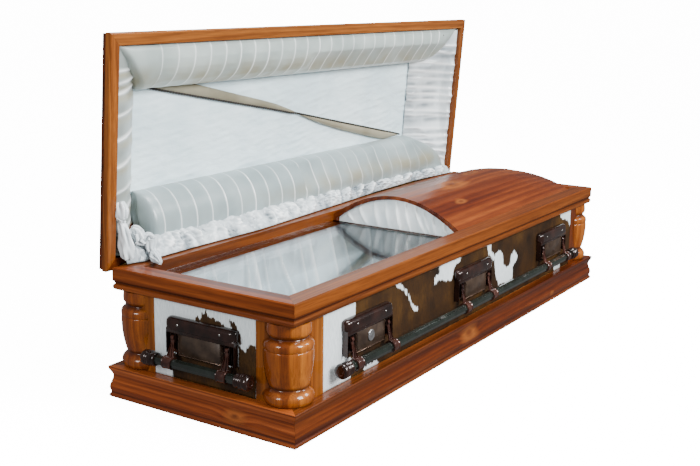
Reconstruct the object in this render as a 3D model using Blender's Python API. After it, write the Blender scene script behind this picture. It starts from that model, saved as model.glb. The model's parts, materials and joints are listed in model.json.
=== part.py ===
"""Wooden casket with corner columns, hide panels, swing handles and a padded, hinged lid.

Metres, +Z up. The origin is the centre of the underside. +X runs towards the foot end, the
front long side faces -Y and the hinges are on the +Y side. The lid is modelled shut and then
turned open about its hinge.
"""
import math

import bmesh
import bpy
from mathutils import Vector

# Gaps between pieces, and the width of a broken edge
GAP = 0.0003
EDGE_BREAK = 0.003

# Rim (cornice) outline and heights
LENGTH = 2.000
WIDTH = 0.616
HEIGHT = 0.374
CORNICE_HEIGHT = 0.0635
CORNICE_PROUD = 0.019
RIM_WIDTH = 0.060
LEDGE_WIDTH = 0.014
LEDGE_DEPTH = 0.037
LEDGE_THICKNESS = 0.0113
CORNICE_BEAD_R = 0.0102
CORNICE_GROOVE = 0.0035

# Plinth moulding, measured outwards from the rim outline
PLINTH_HEIGHT = 0.093
PLINTH_PROUD = 0.0142
PLINTH_NECK = 0.0095
PLINTH_NECK_Z = 0.064
PLINTH_BELLY = 0.0127
PLINTH_BELLY_Z = 0.029
PLINTH_BEAD_R = 0.0068

# Boards
FLOOR_THICKNESS = 0.018
BOARD_THICKNESS = 0.0187
HIDE_THICKNESS = 0.003
POST_ALONG_SIDE = 0.136
POST_ALONG_END = 0.115

# Corner columns
COLUMN_INSET = 0.0420
COLUMN_R = 0.0665
COLUMN_CLEARANCE = 0.0025

# Glass pane and domed inner lid
GLASS_THICKNESS = 0.006
OPENING_CLEARANCE = 0.002
DOME_START_X = 0.000
DOME_SPRING = 0.0260
DOME_RISE = 0.0905
DOME_END_DROP = 0.035
DOME_DROP_RUN = 0.300
DOME_WALL = 0.012
TYMPANUM_SETBACK = 0.010
TYMPANUM_THICKNESS = 0.008

# Body lining
LINING_THICKNESS = 0.006
LINING_CLEARANCE = 0.0015

# Lid
LID_OVERHANG_END = 0.005
LID_OVERHANG_SIDE = 0.017
LID_GAP = 0.0005
LID_FRAME_WIDTH = 0.033
LID_FRAME_THICKNESS = 0.021
LID_DEPTH = 0.118
LID_WALL = 0.012
LID_CROWN_INSET = 0.088
LID_OPEN_DEG = 85.8
PANEL_THICKNESS = 0.004
PANEL_CLEARANCE = 0.0005
ROLL_FRONT = 0.1455
ROLL_BACK = 0.1525
ROLL_SIDE = 0.2025
ROLL_START = 0.0015
ROLL_BACK_SHARE = 0.56
ROLL_HIDDEN_SHARE = 0.12
ROLL_HIDDEN_DEPTH = 0.55
ROLL_STEPS = 6
ROLL_DOME_CLEARANCE = 0.005
SASH_THICKNESS = 0.004
SASH_MIDDLE = 0.336
SASH_SLOPE = 0.196
SASH_TWIST_WIDTH = 0.010
SASH_TWIST_LENGTH = 0.060
SASH_FLARE = 0.045
SASH_CLEARANCE = 0.0012
SASH_STEPS = 12

# Continuous hinge
HINGE_STANDOFF = 0.0076
HINGE_DROP = 0.0075
KNUCKLE_R = 0.0057
LEAF_THICKNESS = 0.0012
LEAF_HEIGHT = 0.027
KNUCKLE_COUNT = 8
KNUCKLE_GAP = 0.001
HINGE_END_MARGIN = 0.050

# Handles
PLATE_WIDTH = 0.240
PLATE_LOW_Z = 0.168
PLATE_HIGH_Z = 0.270
PLATE_THICKNESS = 0.0035
PLATE_DEPTH = 0.0185
PLATE_FROM_END = 0.360
PLATE_INSET = 0.004
POCKET_WIDTH = 0.040
POCKET_HIGH_Z = 0.226
HOOD_HEIGHT = 0.035
HOOD_DEPTH = 0.022
HOOD_MIDDLE = 0.45
ARM_OFFSET = 0.093
PIVOT_OUT = 0.0145
PIVOT_Z = 0.213
PIVOT_R = 0.0065
ARM_WIDTH = 0.010
BAR_OUT = 0.0325
BAR_Z = 0.148
BAR_R = 0.0125
RING_R = 0.0162
RING_LENGTH = 0.022
CAP_R = 0.0185
CAP_LENGTH = 0.046
SIDE_BAR_FROM_END = 0.185
END_BAR_FROM_SIDE = 0.126
EAR_THICKNESS = 0.003
EAR_CLEARANCE = 0.0012
DISC_R = 0.012
DISC_THICKNESS = 0.0015

# Sizes that follow from those above
HALF_X = LENGTH / 2
HALF_Y = WIDTH / 2
BODY_X = HALF_X - CORNICE_PROUD
BODY_Y = HALF_Y - CORNICE_PROUD
CORNICE_LOW = HEIGHT - CORNICE_HEIGHT
LEDGE_Z = HEIGHT - LEDGE_DEPTH
BOARD_TOP = LEDGE_Z - LEDGE_THICKNESS - GAP
OPENING_X = HALF_X - RIM_WIDTH
OPENING_Y = HALF_Y - RIM_WIDTH
COLUMN_X = BODY_X - COLUMN_INSET
COLUMN_Y = BODY_Y - COLUMN_INSET
POST_X = BODY_X - POST_ALONG_SIDE
POST_Y = BODY_Y - POST_ALONG_END
MATING_Z = HEIGHT + LID_GAP
LID_X = HALF_X + LID_OVERHANG_END
LID_Y = HALF_Y + LID_OVERHANG_SIDE
HINGE_Y = HALF_Y + HINGE_STANDOFF
HINGE_Z = MATING_Z - HINGE_DROP
DOME_DROP_START = OPENING_X - DOME_DROP_RUN
PLATE_SPACING = HALF_X - PLATE_FROM_END
SIDE_BAR_LENGTH = LENGTH - 2 * SIDE_BAR_FROM_END
END_BAR_LENGTH = WIDTH - 2 * END_BAR_FROM_SIDE
SIDES = {"front": 0.0, "foot": 90.0, "back": 180.0, "head": 270.0}


def clear_scene():
    """Remove every object and mesh of the opened file."""
    for item in list(bpy.data.objects):
        bpy.data.objects.remove(item, do_unlink=True)
    for mesh in list(bpy.data.meshes):
        bpy.data.meshes.remove(mesh)


def finish_material(name, colour, roughness, metallic=0.0, alpha=1.0):
    """A Principled material of one colour, given as linear red, green and blue."""
    material = bpy.data.materials.new(name)
    material.use_nodes = True
    shader = material.node_tree.nodes["Principled BSDF"]
    shader.inputs["Base Color"].default_value = (*colour, 1.0)
    shader.inputs["Roughness"].default_value = roughness
    shader.inputs["Metallic"].default_value = metallic
    shader.inputs["Alpha"].default_value = alpha
    return material


FINISHES = {
    "wood": ((0.33, 0.11, 0.025), 0.25),
    "column_wood": ((0.28, 0.09, 0.02), 0.22),
    "board": ((0.42, 0.22, 0.09), 0.5),
    "hide": ((0.10, 0.045, 0.012), 0.75),
    "bronze": ((0.020, 0.012, 0.010), 0.25, 0.3),
    "bar": ((0.030, 0.036, 0.030), 0.35, 0.2),
    "satin": ((0.62, 0.66, 0.66), 0.4),
    "sash": ((0.30, 0.27, 0.22), 0.6),
    "glass": ((0.9, 0.95, 0.95), 0.02, 0.0, 0.2),
    "hinge": ((0.45, 0.40, 0.30), 0.35, 1.0),
    "disc": ((0.60, 0.60, 0.62), 0.3, 1.0),
}


def add_mesh(name, shape, finish, parent=None, location=(0, 0, 0), turn=0.0, smooth=None):
    """Put a bmesh into a new object with its own material; turn is in degrees about Z."""
    bmesh.ops.remove_doubles(shape, verts=shape.verts, dist=0.000001)
    bmesh.ops.recalc_face_normals(shape, faces=shape.faces)
    mesh = bpy.data.meshes.new(name)
    shape.to_mesh(mesh)
    shape.free()
    if smooth is not None:
        mesh.shade_smooth()
        mesh.set_sharp_from_angle(angle=math.radians(smooth))
    item = bpy.data.objects.new(name, mesh)
    bpy.context.scene.collection.objects.link(item)
    item.data.materials.append(finish_material(name, *FINISHES[finish]))
    item.parent = parent
    item.location = location
    item.rotation_euler = (0.0, 0.0, math.radians(turn))
    return item


def loft(rings):
    """Join equal rings of points, each to the next, and fill the first and last ring."""
    shape = bmesh.new()
    loops = [[shape.verts.new(point) for point in ring] for ring in rings]
    count = len(rings[0])
    for low, high in zip(loops, loops[1:]):
        for k in range(count):
            after = (k + 1) % count
            shape.faces.new((low[k], low[after], high[after], high[k]))
    shape.faces.new(loops[0])
    shape.faces.new(reversed(loops[-1]))
    return shape


def box(low, high):
    """A box between two corners."""
    (x0, y0, z0), (x1, y1, z1) = low, high
    ring = ((x0, y0), (x1, y0), (x1, y1), (x0, y1))
    return loft([[(x, y, z) for x, y in ring] for z in (z0, z1)])


def cylinder_x(centre, radius, length, sides=12):
    """A round bar along X about a centre."""
    x, y, z = centre
    return tube_x(((x - length / 2, radius), (x + length / 2, radius)), y, z, sides)


def tube_x(stations, y, z, sides=12):
    """A turned form along X: each station gives x and radius."""
    rings = []
    for x, radius in stations:
        angles = [2 * math.pi * k / sides for k in range(sides)]
        rings.append([(x, y + radius * math.cos(a), z + radius * math.sin(a)) for a in angles])
    return loft(rings)


def turned(profile, x, y, sides):
    """A turned form about a vertical axis: each profile point gives radius and height."""
    rings = []
    for radius, z in profile:
        angles = [2 * math.pi * k / sides for k in range(sides)]
        rings.append([(x + radius * math.cos(a), y + radius * math.sin(a), z) for a in angles])
    return loft(rings)


def ease(first, last, steps):
    """Points from first to last along an S-shaped curve, without the first point."""
    points = []
    for k in range(1, steps + 1):
        share = k / steps
        bend = (1 - math.cos(math.pi * share)) / 2
        out = first[0] + (last[0] - first[0]) * bend
        points.append((out, first[1] + (last[1] - first[1]) * share))
    return points


def arc(centre, radius, start_deg, end_deg, steps):
    """Points along a round stretch of a profile, both ends included."""
    points = []
    for k in range(steps + 1):
        angle = math.radians(start_deg + (end_deg - start_deg) * k / steps)
        points.append((centre[0] + radius * math.cos(angle), centre[1] + radius * math.sin(angle)))
    return points


def mesh_of(shape):
    """A finished mesh from a bmesh, with its faces pointing out."""
    bmesh.ops.recalc_face_normals(shape, faces=shape.faces)
    mesh = bpy.data.meshes.new("piece")
    shape.to_mesh(mesh)
    shape.free()
    return mesh


def combined(first, others, operation="UNION"):
    """Join or cut bmeshes with exact Booleans and return the result as one bmesh."""
    scene = bpy.context.scene.collection
    base = bpy.data.objects.new("base", mesh_of(first))
    scene.objects.link(base)
    tools = []
    for shape in others:
        tool = bpy.data.objects.new("tool", mesh_of(shape))
        scene.objects.link(tool)
        modifier = base.modifiers.new("Boolean", "BOOLEAN")
        modifier.operation = operation
        modifier.solver = "EXACT"
        modifier.object = tool
        tools.append(tool)
    evaluated = base.evaluated_get(bpy.context.evaluated_depsgraph_get())
    result = bmesh.new()
    result.from_mesh(evaluated.to_mesh())
    evaluated.to_mesh_clear()
    for item in [base, *tools]:
        bpy.data.objects.remove(item, do_unlink=True)
    return result


def mitred_rail(profile, half_run, half_depth):
    """A straight moulding along X at the -Y side, mitred at both ends.

    The profile gives how far a point stands out from the outline, and its height.
    """
    rings = []
    for end in (-1, 1):
        rings.append([(end * (half_run + out - GAP), -(half_depth + out), z) for out, z in profile])
    return loft(rings)


def add_frame(name, profile, half_x, half_y, finish, lift=None):
    """Four mitred mouldings round a rectangle, one node for each side."""
    for side, turn in SIDES.items():
        along_x = side in ("front", "back")
        run, depth = (half_x, half_y) if along_x else (half_y, half_x)
        shape = mitred_rail(profile, run, depth)
        if lift is None:
            add_mesh(f"{name}_{side}", shape, finish, turn=turn, smooth=35)
        else:
            turn_shape(shape, turn)
            add_on_lid(f"{name}_{side}", shape, finish, lift, smooth=35)


def turn_shape(shape, degrees):
    """Turn a bmesh about Z."""
    angle = math.radians(degrees)
    cosine, sine = round(math.cos(angle), 12), round(math.sin(angle), 12)
    for vert in shape.verts:
        x, y = vert.co.x, vert.co.y
        vert.co.x = x * cosine - y * sine
        vert.co.y = x * sine + y * cosine


def add_on_lid(name, shape, finish, lid, smooth=None):
    """Add a piece modelled with the lid shut, on the empty that holds the lid open."""
    for vert in shape.verts:
        vert.co -= Vector((0.0, HINGE_Y, HINGE_Z))
    return add_mesh(name, shape, finish, parent=lid, smooth=smooth)


def cornice_profile():
    """Flat face, V groove and bead outside; rebate and ledge for the glass inside."""
    bead_z = CORNICE_LOW + CORNICE_BEAD_R
    groove_z = bead_z + CORNICE_BEAD_R
    face_low = groove_z + 2 * CORNICE_GROOVE
    inner = -CORNICE_PROUD + GAP
    profile = [(-RIM_WIDTH, HEIGHT), (-EDGE_BREAK, HEIGHT), (0.0, HEIGHT - EDGE_BREAK), (0.0, face_low)]
    profile += [(-CORNICE_GROOVE, groove_z + CORNICE_GROOVE)]
    profile += arc((-CORNICE_BEAD_R, bead_z), CORNICE_BEAD_R, 60, -90, 6)
    profile += [(inner, CORNICE_LOW), (inner, BOARD_TOP + GAP)]
    profile += [(-RIM_WIDTH - LEDGE_WIDTH, BOARD_TOP + GAP), (-RIM_WIDTH - LEDGE_WIDTH, LEDGE_Z)]
    profile += [(-RIM_WIDTH, LEDGE_Z)]
    return profile


def plinth_profile():
    """Ledge and lip on top, a neck, a belly and a bead at the foot."""
    inner = -CORNICE_PROUD + GAP
    lip = 0.004
    neck = (PLINTH_PROUD - PLINTH_NECK, PLINTH_NECK_Z)
    belly = (PLINTH_BELLY, PLINTH_BELLY_Z)
    bead_top = 2 * PLINTH_BEAD_R
    bead_out = PLINTH_PROUD - PLINTH_BEAD_R
    profile = [(inner, PLINTH_HEIGHT), (PLINTH_PROUD - lip / 2, PLINTH_HEIGHT)]
    profile += [(PLINTH_PROUD, PLINTH_HEIGHT - lip / 2), (PLINTH_PROUD, PLINTH_HEIGHT - lip)]
    profile += ease(profile[-1], neck, 5)
    profile += ease(neck, belly, 5)
    profile += [(PLINTH_BELLY - PLINTH_BEAD_R / 2, bead_top + PLINTH_BEAD_R / 3)]
    profile += arc((bead_out, PLINTH_BEAD_R), PLINTH_BEAD_R, 60, -90, 5)
    profile += [(inner, 0.0)]
    return profile


def column_profile():
    """Radius and height from foot to head: foot, bulge, neck, barrel, ring, neck and bulb."""
    low = PLINTH_HEIGHT + GAP
    high = CORNICE_LOW - GAP
    run = high - low

    def at(radius_share, height_share):
        return (COLUMN_R * radius_share, low + run * height_share)

    profile = [at(0.90, 0.0), at(0.96, 0.03), at(1.0, 0.090), at(0.95, 0.145), at(0.80, 0.185)]
    profile += [at(0.77, 0.20), at(0.80, 0.215), at(0.80, 0.23)]
    for k in range(1, 6):
        share = k / 5
        profile.append(at(0.80 + 0.185 * math.sin(share * math.pi / 2), 0.23 + 0.39 * share))
    profile += [at(0.94, 0.635), at(0.98, 0.655), at(0.98, 0.695), at(0.90, 0.725)]
    profile += [at(0.77, 0.745), at(0.77, 0.765), at(0.84, 0.80), at(0.885, 0.87)]
    profile += [at(0.88, 0.93), at(0.85, 1.0)]
    return profile


def add_box_parts():
    """Floor, boards, corner posts, columns and hide panels."""
    floor = box((-BODY_X, -BODY_Y, 0.0), (BODY_X, BODY_Y, FLOOR_THICKNESS))
    add_mesh("floor_board", floor, "board")
    board_low = FLOOR_THICKNESS + GAP
    recess = HIDE_THICKNESS + GAP
    for side, turn in SIDES.items():
        along_x = side in ("front", "back")
        run = (POST_X if along_x else POST_Y) - GAP
        face = BODY_Y if along_x else BODY_X
        outer = face - recess
        board = box((-run, -outer, board_low), (run, -outer + BOARD_THICKNESS, BOARD_TOP))
        add_mesh(f"board_{side}", board, "board", turn=turn)
        hide_low = PLINTH_HEIGHT + GAP
        hide = box((-run, -face, hide_low), (run, -face + HIDE_THICKNESS, CORNICE_LOW - GAP))
        add_mesh(f"hide_panel_{side}", hide, "hide", turn=turn)
    scoop = COLUMN_R + COLUMN_CLEARANCE
    for sx, end in ((-1, "head"), (1, "foot")):
        for sy, side in ((-1, "front"), (1, "back")):
            corner = (sx * BODY_X, sy * BODY_Y)
            inner = (sx * POST_X, sy * POST_Y)
            low = (min(corner[0], inner[0]), min(corner[1], inner[1]), board_low)
            high = (max(corner[0], inner[0]), max(corner[1], inner[1]), BOARD_TOP)
            x, y = sx * COLUMN_X, sy * COLUMN_Y
            cutter = turned(((scoop, PLINTH_HEIGHT), (scoop, CORNICE_LOW)), x, y, 28)
            post = combined(box(low, high), [cutter], "DIFFERENCE")
            add_mesh(f"corner_post_{side}_{end}", post, "wood", smooth=30)
            column = turned(column_profile(), x, y, 14)
            add_mesh(f"column_{side}_{end}", column, "column_wood", smooth=35)


def dome_height(x, y, half_width):
    """Height of the domed lid's outside: an arch across Y that sinks towards the foot end."""
    low = LEDGE_Z + GAP + DOME_SPRING
    past = max(0.0, (x - DOME_DROP_START) / (OPENING_X - DOME_DROP_START))
    rise = DOME_RISE - DOME_END_DROP * past * past
    return low + rise * (1 - (y / half_width) ** 2)


def add_covers():
    """Glass pane, domed inner lid and its satin arch panel, on the rim's ledge."""
    seat = LEDGE_Z + GAP
    half_y = OPENING_Y - OPENING_CLEARANCE
    end_x = OPENING_X - OPENING_CLEARANCE
    pane_end = DOME_START_X - OPENING_CLEARANCE
    pane = box((-end_x, -half_y, seat), (pane_end, half_y, seat + GLASS_THICKNESS))
    add_mesh("glass_pane", pane, "glass")

    inner_y = half_y - DOME_WALL
    inner_end = end_x - DOME_WALL
    across = 12
    xs = [DOME_START_X, DOME_DROP_START]
    xs += [DOME_DROP_START + (end_x - DOME_DROP_START) * k / 4 for k in range(1, 5)]

    def section(x, half, drop):
        """One closed ring across the lid, from the seat up, over and down."""
        ys = [-half + 2 * half * k / across for k in range(across + 1)]
        ring = [(x, -half, seat)]
        ring += [(x, y, dome_height(x, y, half) - drop) for y in ys]
        ring += [(x, half, seat)]
        return ring

    outer = loft([section(x, half_y, 0.0) for x in xs])
    start = DOME_START_X - DOME_WALL
    inner_xs = [start] + [min(x, inner_end) for x in xs[:-1]] + [inner_end]
    rings = []
    for x in inner_xs:
        ring = section(x, inner_y, DOME_WALL)
        ring[0] = (x, -inner_y, seat - DOME_WALL)
        ring[-1] = (x, inner_y, seat - DOME_WALL)
        rings.append(ring)
    dome = combined(outer, [loft(rings)], "DIFFERENCE")
    add_mesh("dome_lid", dome, "wood", smooth=30)

    half = inner_y - LINING_CLEARANCE
    x0 = DOME_START_X + TYMPANUM_SETBACK
    rings = []
    for x in (x0, x0 + TYMPANUM_THICKNESS):
        ys = [-half + 2 * half * k / across for k in range(across + 1)]
        ring = [(x, -half, seat)]
        drop = DOME_WALL + LINING_CLEARANCE
        ring += [(x, y, dome_height(x, y, inner_y) - drop) for y in ys]
        ring += [(x, half, seat)]
        rings.append(ring)
    add_mesh("satin_arch_panel", loft(rings), "satin")


def lining_outline(inset):
    """Outline of the inside of the box, stepped round the corner posts."""
    far_x = BODY_X - HIDE_THICKNESS - GAP - BOARD_THICKNESS - LINING_CLEARANCE - inset
    far_y = BODY_Y - HIDE_THICKNESS - GAP - BOARD_THICKNESS - LINING_CLEARANCE - inset
    near_x = POST_X - LINING_CLEARANCE - inset
    near_y = POST_Y - LINING_CLEARANCE - inset
    quarter = ((far_x, near_y), (near_x, near_y), (near_x, far_y))
    points = list(quarter)
    points += [(-x, y) for x, y in reversed(quarter)]
    points += [(-x, -y) for x, y in quarter]
    points += [(x, -y) for x, y in reversed(quarter)]
    return points


def add_lining():
    """A thin satin tray against the boards, open at the top."""
    low = FLOOR_THICKNESS + LINING_CLEARANCE
    high = BOARD_TOP - LINING_CLEARANCE
    outer, inner = lining_outline(0.0), lining_outline(LINING_THICKNESS)
    rings = [[(x, y, low) for x, y in outer], [(x, y, high) for x, y in outer]]
    rings += [[(x, y, high) for x, y in inner]]
    rings += [[(x, y, low + LINING_THICKNESS) for x, y in inner]]
    add_mesh("body_lining", loft(rings), "satin")


def rectangle(inset, z):
    """The lid's outline at a height, moved in by an inset."""
    x, y = LID_X - inset, LID_Y - inset
    return [(-x, -y, z), (x, -y, z), (x, y, z), (-x, y, z)]


def add_lid_wood(lid):
    """Mitred frame and the raised top with its sloping sides."""
    z0 = MATING_Z
    z1 = z0 + LID_FRAME_THICKNESS
    edge = EDGE_BREAK
    profile = [(-LID_FRAME_WIDTH, z0), (-edge, z0), (0.0, z0 + edge), (0.0, z1 - edge)]
    profile += [(-edge, z1), (-LID_FRAME_WIDTH, z1)]
    add_frame("lid_frame", profile, LID_X, LID_Y, "wood", lift=lid)

    low = z1 + GAP
    top = z0 + LID_DEPTH
    lip = 0.010
    shoulder = 0.014
    slope = ease((shoulder, low + lip), (LID_CROWN_INSET, top - edge), 6)
    outer = [(edge, low), (edge, low + lip), (shoulder, low + lip)] + slope
    outer += [(LID_CROWN_INSET + edge, top)]
    inner = [(LID_WALL + shoulder, low), (LID_WALL + shoulder, low + lip / 2)]
    inner += ease(inner[-1], (LID_CROWN_INSET + LID_WALL, top - LID_WALL), 6)
    rings = [rectangle(inset, z) for inset, z in reversed(outer)]
    rings += [rectangle(inset, z) for inset, z in inner]
    add_on_lid("lid_top", loft(rings), "wood", lid)


def add_lid_lining(lid):
    """Four padded rolls, the flat panel and the sash."""
    ceiling = MATING_Z + LID_DEPTH - LID_WALL
    panel_high = ceiling - PANEL_CLEARANCE
    panel_low = panel_high - PANEL_THICKNESS
    rest = PANEL_CLEARANCE
    frame_in = LID_FRAME_WIDTH + ROLL_START
    deep = panel_low - rest - MATING_Z

    def roll_section(width):
        """Inset and depth across one roll: a fat swell from the frame to the flat panel."""
        points = [(0.0, LID_FRAME_THICKNESS)]
        for share, depth in ((0.03, 0.10), (0.12, 0.045), (0.30, 0.05), (0.50, 0.145)):
            points.append((width * share, deep * depth))
        for share, depth in ((0.68, 0.32), (0.83, 0.55), (0.95, 0.80), (1.0, 1.0)):
            points.append((width * share, deep * depth))
        points.append((width * ROLL_BACK_SHARE, deep))
        points.append((width * ROLL_HIDDEN_SHARE, deep * ROLL_HIDDEN_DEPTH))
        return points

    front, back, side = roll_section(ROLL_FRONT), roll_section(ROLL_BACK), roll_section(ROLL_SIDE)

    def corner(k, sx, rear):
        """Where two rolls meet, for one point of their sections."""
        inset_x = frame_in + side[k][0]
        inset_y = frame_in + (back if rear else front)[k][0]
        z = MATING_Z + side[k][1]
        return sx * (LID_X - inset_x), (1 if rear else -1) * (LID_Y - inset_y), z

    count = len(side)
    for name, rear in (("front", False), ("back", True)):
        rings = []
        for sx in (-1, 1):
            points = [corner(k, sx, rear) for k in range(count)]
            rings.append([(x - sx * 2 * GAP, y, z) for x, y, z in points])
        add_on_lid(f"satin_roll_{name}", loft(rings), "satin", lid)
    dome_half = OPENING_Y - OPENING_CLEARANCE
    for name, sx, steps in (("head", -1, 1), ("foot", 1, ROLL_STEPS)):
        rings = []
        for step in range(steps + 1):
            ring = []
            for k in range(count):
                x, near_y, z = corner(k, sx, False)
                far_y = corner(k, sx, True)[1]
                y = near_y + 2 * GAP + (far_y - near_y - 4 * GAP) * step / steps
                covered = sx > 0 and 0 < k < count - 2 and x < OPENING_X + EDGE_BREAK * 3
                if covered:
                    over = dome_height(min(x, OPENING_X), y, dome_half) + ROLL_DOME_CLEARANCE
                    z = max(z, min(over, panel_low - rest))
                ring.append((x, y, z))
            rings.append(ring)
        add_on_lid(f"satin_roll_{name}", loft(rings), "satin", lid)

    overlap = 0.020
    wide = LID_X - frame_in - ROLL_SIDE + overlap
    near = LID_Y - frame_in - ROLL_FRONT + overlap
    far = LID_Y - frame_in - ROLL_BACK + overlap
    panel = box((-wide, -near, panel_low), (wide, far, panel_high))
    add_on_lid("lid_panel", panel, "satin", lid)

    low = panel_low - rest - SASH_THICKNESS
    front_limit = overlap + SASH_CLEARANCE - near
    back_limit = far - overlap - SASH_CLEARANCE
    side_limit = wide - overlap - SASH_CLEARANCE
    middle_y = LID_Y - SASH_MIDDLE
    start = max(-side_limit, (front_limit + SASH_THICKNESS - middle_y) / SASH_SLOPE)
    stop = min(side_limit, (back_limit - SASH_THICKNESS - middle_y) / SASH_SLOPE)
    rings = []
    for k in range(SASH_STEPS + 1):
        x = start + (stop - start) * k / SASH_STEPS
        edge_y = middle_y + SASH_SLOPE * x
        width = SASH_TWIST_WIDTH + SASH_FLARE * abs(x)
        side = max(-1.0, min(1.0, x / SASH_TWIST_LENGTH))
        y0 = max(front_limit, edge_y - width * (1 - side) / 2)
        y1 = min(back_limit, edge_y + width * (1 + side) / 2)
        high = low + SASH_THICKNESS
        rings.append([(x, y0, low), (x, y1, low), (x, y1, high), (x, y0, high)])
    add_on_lid("lid_sash", loft(rings), "sash", lid)


def add_hinge(lid):
    """A continuous hinge: one leaf on the rim's back face, one under the lid's overhang."""
    run = HALF_X - HINGE_END_MARGIN
    pitch = 2 * run / KNUCKLE_COUNT
    face = HALF_Y + GAP
    leaf_low = HINGE_Z - LEAF_HEIGHT
    leaf_high = HINGE_Z + KNUCKLE_R
    body_leaf = box((-run, face, leaf_low), (run, face + LEAF_THICKNESS, leaf_high))
    under = MATING_Z - GAP
    clear = face + LEAF_THICKNESS + KNUCKLE_GAP
    lid_leaf = box((-run, clear, under - LEAF_THICKNESS), (run, LID_Y - GAP, under))
    body_knuckles, lid_knuckles = [], []
    web = KNUCKLE_R / 2
    for k in range(KNUCKLE_COUNT):
        x = -run + (k + 0.5) * pitch
        length = pitch - KNUCKLE_GAP
        knuckle = cylinder_x((x, HINGE_Y, HINGE_Z), KNUCKLE_R, length, 8)
        x0, x1 = x - length / 2 + GAP, x + length / 2 - GAP
        if k % 2 == 0:
            low = (x0, face + LEAF_THICKNESS / 2, HINGE_Z - web)
            bridge = box(low, (x1, HINGE_Y, HINGE_Z + web))
            body_knuckles += [knuckle, bridge]
        else:
            high = (x1, HINGE_Y + web, under - LEAF_THICKNESS / 2)
            bridge = box((x0, HINGE_Y - web, HINGE_Z), high)
            lid_knuckles += [knuckle, bridge]
    add_mesh("hinge_leaf_body", combined(body_leaf, body_knuckles), "hinge", smooth=35)
    add_on_lid("hinge_leaf_lid", combined(lid_leaf, lid_knuckles), "hinge", lid, smooth=35)


def hood_rings(half, low, high):
    """Rounded hood of a plate: rings along X that shrink towards both ends."""
    middle = low + (high - low) * HOOD_MIDDLE
    rings = []
    for inset, share in ((0.0, 0.65), (0.7, 1.0)):
        depth = HOOD_DEPTH * share
        z0 = middle - (middle - low) * share
        z1 = middle + (high - middle) * share
        span = z1 - z0
        x = half - inset * HOOD_DEPTH
        ring = [(x, 0.0, z0), (x, -depth * 0.85, z0), (x, -depth, z0 + span * 0.15)]
        ring += [(x, -depth * 0.97, z0 + span * 0.60), (x, -depth * 0.75, z0 + span * 0.86)]
        ring += [(x, -depth * 0.35, z1), (x, 0.0, z1)]
        rings.append(ring)
    return [[(-x, y, z) for x, y, z in ring] for ring in rings] + rings[::-1]


def handle_plate():
    """A deep block with a pocket for each arm, ears in the pockets and a rounded hood on top."""
    half = PLATE_WIDTH / 2
    wide = half - PLATE_INSET
    tuck = PLATE_THICKNESS
    block = box((-wide, -PLATE_DEPTH, PLATE_LOW_Z), (wide, 0.0, PLATE_HIGH_Z - tuck))
    parts = [loft(hood_rings(half, PLATE_HIGH_Z - HOOD_HEIGHT, PLATE_HIGH_Z))]
    pockets = []
    reach = PIVOT_OUT + PIVOT_R / 2
    for sx in (-1, 1):
        centre = sx * ARM_OFFSET
        low = (centre - POCKET_WIDTH / 2, -2 * PLATE_DEPTH, PLATE_LOW_Z - tuck)
        pockets.append(box(low, (centre + POCKET_WIDTH / 2, -PLATE_THICKNESS, POCKET_HIGH_Z)))
        for side in (-1, 1):
            near = centre + side * (ARM_WIDTH / 2 + EAR_CLEARANCE)
            far = near + side * EAR_THICKNESS
            low = (min(near, far), -reach, PIVOT_Z - PIVOT_R)
            parts.append(box(low, (max(near, far), -PLATE_THICKNESS / 2, POCKET_HIGH_Z + tuck)))
    return combined(combined(block, pockets, "DIFFERENCE"), parts)


def arm_rings(centre, direction, length):
    """A flat-sided arm that narrows below its pivot and flares to the ring round the bar."""
    across = Vector((0.0, -direction.z, direction.y))
    rings = []
    for share, width, depth in ((0.0, 0.8, 0.32), (0.35, 0.7, 0.34), (0.93, 1.8, 0.8)):
        middle = direction * (length * share)
        half_x, half_out = ARM_WIDTH * width / 2, RING_R * depth
        ring = []
        for along, out in ((-1, -0.4), (0, -1), (1, -0.4), (1, 0.4), (0, 1), (-1, 0.4)):
            point = middle + across * (out * half_out)
            ring.append((centre + along * half_x, point.y, point.z))
        rings.append(ring)
    return rings


def swing_handle(bar_length, arm_centres):
    """Bar with end caps and its arms, with the pivot line as its origin."""
    y = -(BAR_OUT - PIVOT_OUT)
    z = BAR_Z - PIVOT_Z
    half = bar_length / 2
    neck = half - CAP_LENGTH
    stations = [(-half, CAP_R * 0.8), (-half + CAP_R * 0.2, CAP_R), (-half + CAP_R, CAP_R)]
    stations += [(-half + CAP_R * 1.3, CAP_R * 0.82), (-neck, BAR_R)]
    stations += [(-x, radius) for x, radius in reversed(stations)]
    bar = tube_x(stations, y, z, 10)
    direction = Vector((0.0, y, z)).normalized()
    length = math.hypot(y, z)
    parts = []
    for centre in arm_centres:
        parts.append(cylinder_x((centre, 0.0, 0.0), PIVOT_R, ARM_WIDTH, 8))
        parts.append(cylinder_x((centre, y, z), RING_R, RING_LENGTH, 8))
        parts.append(loft(arm_rings(centre, direction, length)))
    return combined(bar, parts)


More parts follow.
